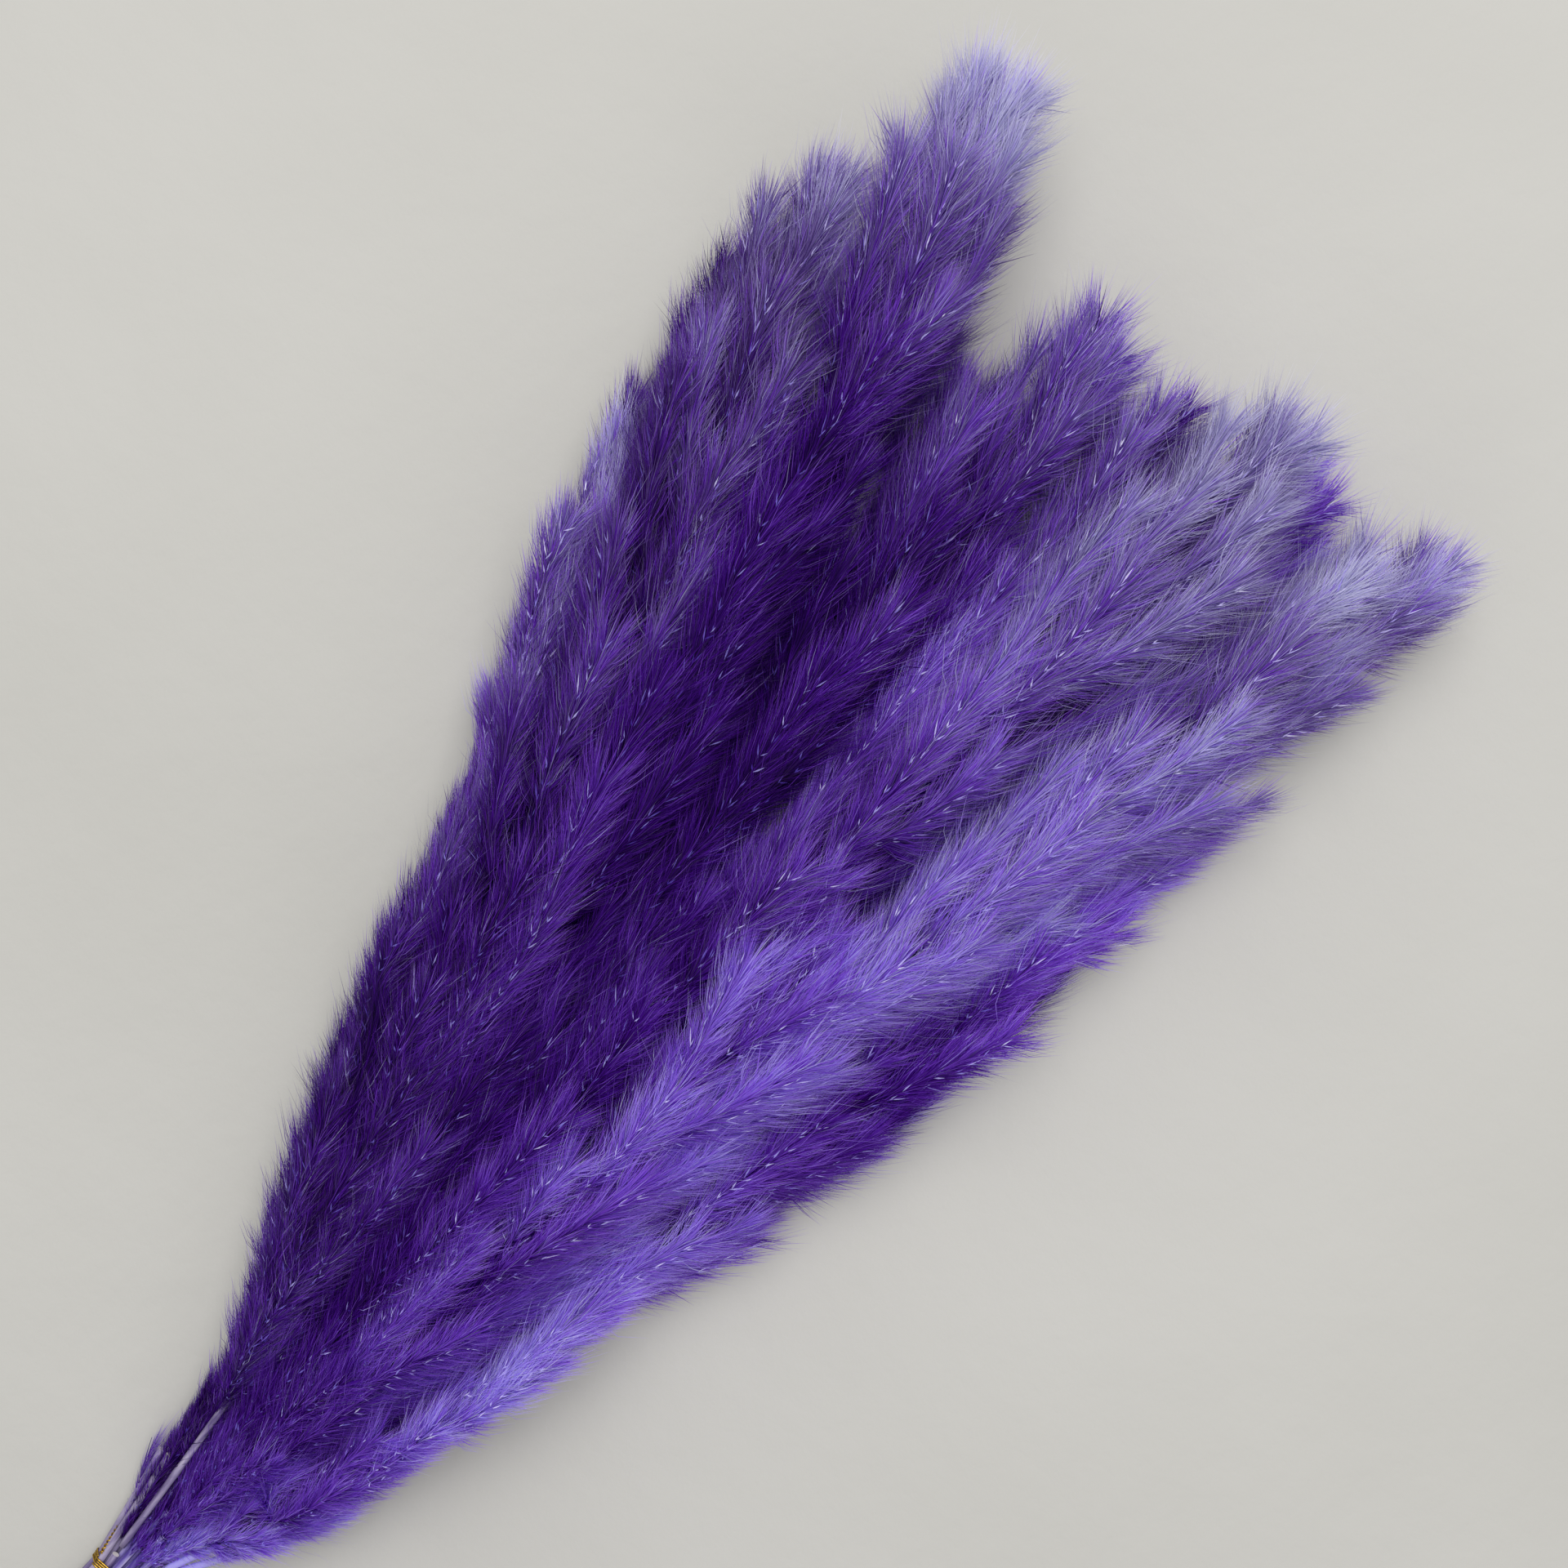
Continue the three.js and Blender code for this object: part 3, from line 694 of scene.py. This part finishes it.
# Hairs by kind: how many to a spikelet, lean from the branch and its scatter in radians, shortest
# and longest as shares of the plume's hair length, width in millimetres, how much paler than the
# plume, how much they differ in tone and whether they are curved, which takes two faces.
HAIR_KINDS = {
    # Under hairs are darker than the plume: painted shade under the outer fur.
    "under": (10, 0.5, 0.14, 0.5, 0.85, 0.7, -0.14, 0.06, False),
    "short": (54, 0.5, 0.12, 0.5, 0.95, 0.22, 0.0, 0.06, False),
    "long": (16, 0.56, 0.14, 0.75, 1.1, 0.17, 0.08, 0.07, True),
    "whisker": (2.6, 0.65, 0.2, 0.9, 1.3, 0.15, 0.04, 0.07, True),
}
# Painted sheen: a few long hairs are made paler, as if they caught the light.
GLOSSY = 0.11  # how much paler than the rest a few of the long hairs are
DULL = 0.7  # of that is taken off all of them
WHISKER_TONE = 0.26  # how much paler whiskers are at the plume's tip
WHISKERS_ALONG = (0.35, 0.9)  # their share at the plume's foot, and how many more at its tip
SWEEP = (1.15, 0.6)  # round the branch to either side, and its scatter
ROOT_SCATTER = 1.4
ROOT_LIFT = 0.3
CURVED_AT = 0.45  # of a hair's length
CURVED_BY = 0.65  # its lean past that, as a share
CURL = (0.06, 0.12)


def grow_hairs(pile, sp, kind, share):
    """The silky hairs of every spikelet, share times as many as its kind has."""
    rng = sp["rng"]
    number, lean_middle, lean_scatter, short, long, width, paler, jitter, curved = HAIR_KINDS[kind]
    wanted = np.broadcast_to(number * share, len(sp["base"]))
    counts = np.floor(wanted + rng.random(len(wanted))).astype(int)
    which = np.repeat(np.arange(len(counts)), counts)
    n = len(which)
    way, out, side = sp["way"][which], sp["out"][which], sp["side"][which]
    # The hairs part along the branch's outer side and sweep forward to both sides of it.
    azimuth = rng.choice([-1.0, 1.0], n) * rng.normal(*SWEEP, n) + sp["turn"][which]
    radial = out * np.cos(azimuth)[..., None] + side * np.sin(azimuth)[..., None]
    root = sp["base"][which] + way * rng.normal(0, ROOT_SCATTER, n)[:, None] + radial * ROOT_LIFT
    lean = np.abs(rng.normal(lean_middle, lean_scatter, n) + sp["lean"][which])
    size = (sp["size"][which] * rng.uniform(short, long, n))[:, None]
    aim = unit(way * np.cos(lean)[:, None] + radial * np.sin(lean)[:, None])
    shade = unit(radial * 0.5 + out * 0.6 + UP * 0.3)
    band = np.where(rng.random(n) < sp["grey"][which], BAND_GREY, BAND_VIOLET)
    tone = sp["tone"][which] + paler
    # Painted sheen on a few long hairs.
    if kind == "long":
        tone = tone + rng.exponential(GLOSSY, n) - GLOSSY * DULL
    if kind == "whisker":
        tone = tone + WHISKER_TONE * sp["ahead"][which]
    flat = unit(np.cross(aim, shade)) * width / 2
    if curved:
        aside = np.cross(way, radial)
        middle = aim + aside * rng.normal(0, CURL[0], n)[:, None]
        middle = root + unit(middle) * size * CURVED_AT
        late = lean * CURVED_BY
        end = way * np.cos(late)[:, None] + radial * np.sin(late)[:, None]
        end = end + aside * rng.normal(0, CURL[1], n)[:, None]
        end = middle + unit(end) * size * (1 - CURVED_AT)
        points = np.stack([root, middle - flat, middle + flat, end], 1)
    else:
        points = np.stack([root - flat, root + flat, root + aim * size], 1)
    lay_hairs(pile, sp, points, sp["stray"][which], tone, band, shade, jitter)


# Painted shade: the less open to the sky and the sides a spikelet lies, the darker its tone.
PAINTED_SHADE_DEPTH = 0.28  # how much darker a buried spikelet is than one in the open
OPENEST = 1.8
RACHIS_RINGS = 40
RACHIS_SHARE = 0.45  # of the core's radius
RACHIS_TIP = 0.15
# Painted shade: the rachis gets a dark tone, as it lies in the shade inside the fur.
RACHIS_SHADE_TONE = 0.1
RACHIS_BEYOND = -5
RACHIS_SIDES = 10
BARE_RINGS = 10
BARE_SIDES = 8
BARE_TONE = 0.62
BARE_OVERLAP = 0.02
TWIG_SIDES = 3
# Painted shade: the branches too are dark, as they lie inside the fur.
TWIG_SHADE_TONE = (0.3, 0.1)
TWIG_TONES = (0.05, 0.9)


def grow_axes(pile, stalk, sp):
    """The rachis with a felt of hair bases round it, and the branches, all dark as painted shade
    inside the fur.
    """
    bare = BARE_AXES.get(stalk["name"], 0.0)
    bare_to = stalk["head"] + bare / stalk["reach"]
    if bare:
        t = np.linspace(stalk["head"], bare_to + BARE_OVERLAP, BARE_RINGS)
        middle = bezier(stalk["points"], t)[None]
        radii = np.full((1, BARE_RINGS), STEM_RADIUS)
        tones = np.full((1, BARE_RINGS), BARE_TONE)
        tube(pile, middle, radii, tones, BAND_GLUME, BARE_SIDES, (0.4, 0.6))
    t = np.linspace(max(stalk["head"], bare_to), 1, RACHIS_RINGS)
    radius = core_radius(stalk, t) * RACHIS_SHARE
    radius[0] = STEM_RADIUS
    radius[-1] = RACHIS_TIP
    middle = keep_within(bezier(stalk["points"], t), RACHIS_BEYOND)
    tones = np.full((1, RACHIS_RINGS), RACHIS_SHADE_TONE)
    tube(pile, middle[None], radius[None], tones, BAND_AXIS, RACHIS_SIDES)

    count = len(sp["lines"])
    s = np.linspace(0, 1, BRANCH_STEPS + 1)
    radii = np.broadcast_to(BRANCH_RADIUS * (1 - BRANCH_THINNING * s), (count, len(s)))
    tones = np.clip(TWIG_SHADE_TONE[0] + sp["rng"].normal(0, TWIG_SHADE_TONE[1], count), *TWIG_TONES)
    tube(pile, sp["lines"], radii, tones[:, None] + np.zeros(len(s)), BAND_AXIS, TWIG_SIDES)


def grow_plume(stalk, sp, share):
    """All that grows on one stalk, with share saying how open each spikelet lies."""
    # Painted shade: hairs that lie buried deep inside the bunch are made darker, as the shade falls
    # there.
    sp["tone"] = sp["tone"] + PAINTED_SHADE_DEPTH * (np.minimum(share, OPENEST) - 1)
    pile = Pile()
    grow_axes(pile, stalk, sp)
    grow_bracts(pile, sp)
    grow_hairs(pile, sp, "under", 1)
    grow_hairs(pile, sp, "short", share)
    grow_hairs(pile, sp, "long", share)
    foot, more = WHISKERS_ALONG
    grow_hairs(pile, sp, "whisker", share * (foot + more * sp["ahead"]))
    return pile


# -------- materials
def srgb(text):
    """A colour written #rrggbb, as the linear values that shaders take."""
    values = [int(text[i : i + 2], 16) / 255 for i in (1, 3, 5)]
    linear = [v / 12.92 if v <= 0.04045 else ((v + 0.055) / 1.055) ** 2.4 for v in values]
    return (*linear, 1.0)


class Nodes:
    """A new material and its nodes."""

    def __init__(self, name):
        self.material = bpy.data.materials.new(name)
        self.material.use_nodes = True
        self.material.node_tree.nodes.clear()

    def add(self, kind, inputs, **settings):
        """A node with its settings. Its inputs are linked to a socket or set to a value."""
        tree = self.material.node_tree
        node = tree.nodes.new("ShaderNode" + kind)
        for name, value in settings.items():
            setattr(node, name, value)
        for key, value in inputs.items():
            if isinstance(value, bpy.types.NodeSocket):
                tree.links.new(value, node.inputs[key])
            else:
                node.inputs[key].default_value = value
        return node

    def finish(self, kind, inputs):
        """The finished material, with one more shader as its surface."""
        self.add("OutputMaterial", {"Surface": self.add(kind, inputs).outputs[0]})
        return self.material

    def ramp(self, factor, stops):
        """A ramp through stops, each a place from 0 to 1 and a colour written #rrggbb."""
        node = self.add("ValToRGB", {"Fac": factor})
        elements = node.color_ramp.elements
        while len(elements) < len(stops):
            elements.new(0.5)
        for element, (at, colour) in zip(elements, stops):
            element.position = at
            element.color = srgb(colour)
        return node.outputs["Color"]

    def mix(self, factor, a, b):
        node = self.add("Mix", {"Factor": factor, "A": a, "B": b}, data_type="RGBA")
        return node.outputs["Result"]

    def maths(self, operation, a, b=0.5):
        return self.add("Math", {0: a, 1: b}, operation=operation).outputs["Value"]

    def noise(self, size, detail=3.0, stretch=(1, 1, 1)):
        place = self.add("TexCoord", {}).outputs["Object"]
        place = self.add("Mapping", {"Vector": place, "Scale": stretch}).outputs["Vector"]
        inputs = {"Vector": place, "Scale": size, "Detail": detail}
        return self.add("TexNoise", inputs).outputs["Fac"]

    def bump(self, height, distance, strength):
        inputs = {"Height": height, "Distance": distance, "Strength": strength}
        return self.add("Bump", inputs).outputs["Normal"]


# For every band of the tone map: tones from the darkest hairs to the palest, their colours at
# the root of a hair and those at its tip. The lowest tones are partly deep dye and partly painted
# shade on buried hairs, and the dark roots are painted shade deep in the fur.
DYES_AND_PAINTED_SHADE = {
    BAND_VIOLET: (
        (0, 0.25, 0.55, 0.8, 1),
        ("#100024", "#28005c", "#50189c", "#7448c0", "#8c7ed8"),
        ("#2a0460", "#5e14b2", "#9c64e8", "#bc9efa", "#d6ccfe"),
    ),
    BAND_GREY: (
        (0, 0.25, 0.55, 0.8, 1),
        ("#12002c", "#280858", "#4e3090", "#7a74b0", "#a2a2c8"),
        ("#301850", "#5a3c80", "#9888bc", "#c4c0de", "#e0e0f0"),
    ),
    BAND_GLUME: (
        (0, 0.3, 0.6, 1),
        ("#3c1c90", "#7c6cd0", "#beb6f2", "#ece8fe"),
        ("#4424a0", "#8474d8", "#c4bcf6", "#f0ecfe"),
    ),
    # The axis band is dark: painted shade on the rachis and the branches inside the fur.
    BAND_AXIS: (
        (0, 0.5, 1),
        ("#140034", "#2c0874", "#5a44a8"),
        ("#1c0048", "#401a98", "#6a54b4"),
    ),
}
FUR_ROUGHNESS = 0.7
FUR_GLOSS = 0.08
GLOW_SHARE = 0.34  # of the light on a hair goes through it
GLOW_SATURATION = 1.25
GLOW_VALUE = 1.6


def fur_material():
    nodes = Nodes("dyed_fur")
    place = nodes.add("UVMap", {}, uv_map=TONE_MAP).outputs["UV"]
    parts = nodes.add("SeparateXYZ", {0: place}).outputs
    scaled = nodes.maths("MULTIPLY", parts["Y"], float(BANDS))
    along = nodes.maths("FRACT", scaled)
    colour = None
    for band, (tones, *ends) in DYES_AND_PAINTED_SHADE.items():
        ramps = [nodes.ramp(parts["X"], list(zip(tones, end))) for end in ends]
        one = nodes.mix(along, *ramps)
        if colour is None:
            colour = one
        else:
            colour = nodes.mix(nodes.maths("GREATER_THAN", scaled, float(band)), colour, one)
    inputs = {"Base Color": colour, "Roughness": FUR_ROUGHNESS, "Specular IOR Level": FUR_GLOSS}
    shader = nodes.add("BsdfPrincipled", inputs)
    # Light that comes through a dyed hair is deeper in colour than what it throws back.
    inputs = {"Color": colour, "Saturation": GLOW_SATURATION, "Value": GLOW_VALUE}
    deeper = nodes.add("HueSaturation", inputs).outputs["Color"]
    glow = nodes.add("BsdfTranslucent", {"Color": deeper})
    both = {"Fac": GLOW_SHARE, 1: shader.outputs[0], 2: glow.outputs[0]}
    return nodes.finish("MixShader", both)


FIBRES = (12, 900, 900)  # how fine the streaks are along a stem and across it
PATCHES = (40, 260, 260)


def stem_material(name, dark, middle, pale):
    """Fibrous straw: streaks along the stem, worn paler in patches."""
    nodes = Nodes(name)
    fibre = nodes.noise(1.0, 4.0, FIBRES)
    patch = nodes.noise(1.0, 2.0, PATCHES)
    streaks = nodes.ramp(fibre, [(0.3, middle[0]), (0.5, middle[1]), (0.72, pale)])
    dyed = nodes.ramp(fibre, [(0.3, dark), (0.55, middle[0]), (0.75, middle[1])])
    worn = nodes.ramp(patch, [(0.42, "#000000"), (0.58, "#ffffff")])
    inputs = {"Base Color": nodes.mix(worn, dyed, streaks), "Roughness": 0.42}
    inputs["Normal"] = nodes.bump(fibre, 0.0002, 0.6)
    return nodes.finish("BsdfPrincipled", inputs)


def pith_material():
    """The pale open end of a cut stem."""
    nodes = Nodes("pale_pith")
    colour = nodes.ramp(nodes.noise(2500.0, 2.0), [(0.35, "#cfc6cc"), (0.65, "#f2eee6")])
    return nodes.finish("BsdfPrincipled", {"Base Color": colour, "Roughness": 0.8})


def wire_material():
    """Gold-coloured wire, a little uneven in its gloss."""
    nodes = Nodes("gold_wire")
    grain = nodes.noise(900.0)
    colour = nodes.ramp(grain, [(0.35, "#8c6a1c"), (0.65, "#c8a444")])
    rough = nodes.add("MapRange", {"Value": grain, "To Min": 0.22, "To Max": 0.42})
    inputs = {"Base Color": colour, "Metallic": 1.0, "Roughness": rough.outputs["Result"]}
    inputs["Normal"] = nodes.bump(grain, 0.00005, 0.4)
    return nodes.finish("BsdfPrincipled", inputs)


def floor_material():
    """The plain pale surface that the bunch lies on."""
    nodes = Nodes("pale_plaster")
    colour = nodes.ramp(nodes.noise(3.0), [(0.3, "#b8b7b2"), (0.7, "#c2c1bd")])
    bump = nodes.bump(nodes.noise(60.0, 5.0), 0.002, 0.35)
    inputs = {"Base Color": colour, "Roughness": 0.75, "Normal": bump}
    return nodes.finish("BsdfPrincipled", inputs)


# -------- stems and the tie
STEM_STEP = 3.0
STEM_SIDES = 12
STEM_SHARE = 0.94  # of its radius between the nodes
INTO_PLUME = 1.0
CUT_AT = (5.0, 8.3)  # where the long stem is cut through, and where it goes on
WORN_STEMS = ("01", "02", "07", "08", "14", "15")
NODE_EVERY = 46.0  # culm nodes along a stem
NODE_SWELL = 0.12
NODE_LENGTH = 1.2


def simple_piece(name, points, faces, material):
    """A smooth piece of the given points and faces, in millimetres."""
    mesh = bpy.data.meshes.new(name)
    mesh.from_pydata((points * MM + ORIGIN).tolist(), [], faces)
    for polygon in mesh.polygons:
        polygon.use_smooth = True
    mesh.update()
    piece = show(name, mesh, material)
    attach(piece, "root")
    return piece


def ring_tube(centres, radii, sides):
    """One tube through centres: its points and its faces, of which the last two are flat ends."""
    along = unit(np.gradient(centres, axis=0))
    left = unit(np.cross(UP, along) + 1e-6)
    up = np.cross(along, left)
    angle = np.arange(sides) * 2 * np.pi / sides
    outward = left[:, None] * np.cos(angle)[:, None] + up[:, None] * np.sin(angle)[:, None]
    points = (centres[:, None] + outward * radii[:, None, None]).reshape(-1, 3)
    faces = []
    for i in range(len(centres) - 1):
        for k in range(sides):
            a, b = i * sides + k, i * sides + (k + 1) % sides
            faces.append((a, b, b + sides, a + sides))
    last = (len(centres) - 1) * sides
    faces.append(tuple(range(sides))[::-1])
    faces.append(tuple(last + k for k in range(sides)))
    return points, faces


def join(tubes):
    """Several tubes as one set of points and faces."""
    points, faces = np.zeros((0, 3)), []
    for more, more_faces in tubes:
        faces += [tuple(k + len(points) for k in face) for face in more_faces]
        points = np.concatenate([points, more])
    return points, faces


def stem_run(stalk, begin, end):
    """A stem's middle line and thickness between two places along it, with a few culm nodes."""
    places = np.linspace(begin, end, max(3, round((end - begin) / STEM_STEP)))
    length = np.linalg.norm(stalk["waist"] - stalk["butt"])
    back = np.clip(-places / length, 0, 1)[:, None]
    behind = stalk["waist"] + (stalk["butt"] - stalk["waist"]) * back
    ahead = bezier(stalk["points"], np.interp(places, stalk["arc"], stalk["ts"]))
    centres = np.where(places[:, None] < 0, behind, ahead)
    shift = scatter(stalk["seed"], 5) * NODE_EVERY
    from_node = np.abs((places + shift) % NODE_EVERY - NODE_EVERY / 2)
    swell = NODE_SWELL * np.exp(-((from_node / NODE_LENGTH) ** 2))
    return centres, STEM_RADIUS * (STEM_SHARE + swell)


def build_stem(stalk, materials):
    length = np.linalg.norm(stalk["waist"] - stalk["butt"])
    end = stalk["start"] - SEAT_GAP + INTO_PLUME
    runs = [(-length, end)]
    if stalk["name"] == LONG_STEM:
        # It is cut through just above the tie, and its pale end lies open.
        runs = [(-length, CUT_AT[0]), (CUT_AT[1], end)]
    tubes, caps = [], []
    for begin, finish in runs:
        tubes.append(ring_tube(*stem_run(stalk, begin, finish), STEM_SIDES))
        made = sum(len(tube[1]) for tube in tubes)
        caps += [made - 2, made - 1]
    bark = materials["worn" if stalk["name"] in WORN_STEMS else "dyed"]
    piece = simple_piece(f"stalk_{stalk['name']}", *join(tubes), bark)
    piece.data.materials.append(materials["pith"])
    for cap in caps:
        piece.data.polygons[cap].material_index = 1
        piece.data.polygons[cap].use_smooth = False
    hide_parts(f"stem_{stalk['name']}")


def stem_centre(stalk, x):
    """The middle of a stem at x near the tie."""
    if x < 0:
        return stalk["waist"] + (stalk["butt"] - stalk["waist"]) * (x / stalk["butt"][0])
    along = unit(stalk["lead"])
    return stalk["waist"] + along * (x / along[0])


WIRE_TURNS = 4
WIRE_THICKNESS = 0.26  # its radius
WIRE_SIDES = 10
WIRE_GAP = 0.05  # between it and the stems
TURN_STEPS = 84
FIRST_TURN = 0.6  # the angle where it begins
TWIST_TURNS = 3.5
TWIST_LENGTH = 9.0
TWIST_STEPS = 48
TWIST_RADIUS = 0.4
TWIST_SIDES = 8
TWIST_THINNER = 0.95
TWIST_FROM = (1.2, 0.0, 0.3)  # from the wire's end
TWIST_BY = (TWIST_LENGTH, 1.2, -0.4)


def build_tie(stalks, material):
    """Wire wound tight round the stems, its two ends twisted together and pressed flat."""
    half = TIE_TURNS * TURN_PITCH / 2 - WIRE_THICKNESS
    path = []
    steps = WIRE_TURNS * TURN_STEPS
    for i in range(steps + 1):
        angle = 2 * math.pi * i / TURN_STEPS + FIRST_TURN
        x = -half + 2 * half * i / steps
        outward = np.array([0, math.cos(angle), math.sin(angle)])
        centres = [stem_centre(stalk, x) for stalk in stalks]
        outer = max(centres, key=lambda p: p @ outward)
        path.append(outer + outward * (STEM_RADIUS + WIRE_THICKNESS + WIRE_GAP))
    path = np.array(path)
    tubes = [ring_tube(path, np.full(len(path), WIRE_THICKNESS), WIRE_SIDES)]
    a = np.linspace(0, 1, TWIST_STEPS)
    for phase in (0, math.pi):
        turn = phase + a * TWIST_TURNS * 2 * math.pi
        spots = path[-1] + (np.array(TWIST_FROM) + a[:, None] * np.array(TWIST_BY))
        spots[:, 1] += TWIST_RADIUS * np.cos(turn)
        spots[:, 2] += TWIST_RADIUS * np.sin(turn)
        thickness = np.full(TWIST_STEPS, WIRE_THICKNESS * TWIST_THINNER)
        tubes.append(ring_tube(spots, thickness, TWIST_SIDES))
    piece = simple_piece("wire_tie", *join(tubes), material)
    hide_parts("tie")


# -------- build
stalks = lay_out()
grown = [grow_spikelets(stalk, stalks) for stalk in stalks]
shares = openness(np.concatenate([sp["base"] for sp in grown]))
fur = fur_material()
stem_materials = {
    "dyed": stem_material("dyed_stem", "#341a80", ("#5a489c", "#8a80c0"), "#c8c0e8"),
    "worn": stem_material("worn_stem", "#4a3c70", ("#7a6c94", "#948aac"), "#b8aec4"),
    "pith": pith_material(),
}
done = 0
for stalk, sp in zip(stalks, grown):
    share = shares[done : done + len(sp["base"])]
    done += len(sp["base"])
    piece = grow_plume(stalk, sp, share).piece(f"fur_{stalk['name']}", fur)
    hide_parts(f"plume_{stalk['name']}")
    build_stem(stalk, stem_materials)
build_tie(stalks, wire_material())

# -------- surface, light and camera
VIEW_TURN = math.radians(49)  # of the bunch in the picture
VIEW_FROM = (307.0, 4.6, 653.0)
LENS = 50
SENSOR = 36
NEAREST = 0.01
HALF_FLOOR = 4  # metres
ROOM_LIGHT = 0.475
WINDOW_AT = (0.5, 0.25, 1.7)  # metres; it shines at the frame's origin
WINDOW_SIZE = 1.4
WINDOW_POWER = 27.6
WINDOW_COLOUR = (1.0, 0.99, 0.97)

floor_mesh = bpy.data.meshes.new("surface")
edge = HALF_FLOOR
corners = [(-edge, -edge, 0), (edge, -edge, 0), (edge, edge, 0), (-edge, edge, 0)]
floor_mesh.from_pydata(corners, [], [(0, 1, 2, 3)])
floor = show("surface", floor_mesh, floor_material())

world = bpy.data.worlds.new("soft_room")
world.use_nodes = True
world.node_tree.nodes["Background"].inputs["Color"].default_value = (1.0, 1.0, 1.0, 1)
world.node_tree.nodes["Background"].inputs["Strength"].default_value = ROOM_LIGHT
bpy.context.scene.world = world

window_light = bpy.data.lights.new("window", "AREA")
window_light.size = WINDOW_SIZE
window_light.energy = WINDOW_POWER
window_light.color = WINDOW_COLOUR
window = bpy.data.objects.new("window", window_light)
back = unit(np.array(WINDOW_AT))
right = unit(np.cross(UP, back))
way = Matrix(np.stack([right, np.cross(back, right), back], 1).tolist())
window.matrix_world = Matrix.Translation(WINDOW_AT) @ way.to_4x4()
bpy.context.scene.collection.objects.link(window)

camera_data = bpy.data.cameras.new("camera")
camera_data.lens = LENS
camera_data.sensor_width = SENSOR
camera_data.clip_start = NEAREST
camera = bpy.data.objects.new("camera", camera_data)
c, s = math.cos(VIEW_TURN), math.sin(VIEW_TURN)
x, y, z = np.array(VIEW_FROM) * MM + ORIGIN
camera.matrix_world = Matrix(((c, s, 0, x), (-s, c, 0, y), (0, 0, 1, z), (0, 0, 0, 1)))
bpy.context.scene.collection.objects.link(camera)
bpy.context.scene.camera = camera
bpy.context.scene.view_settings.view_transform = "Standard"
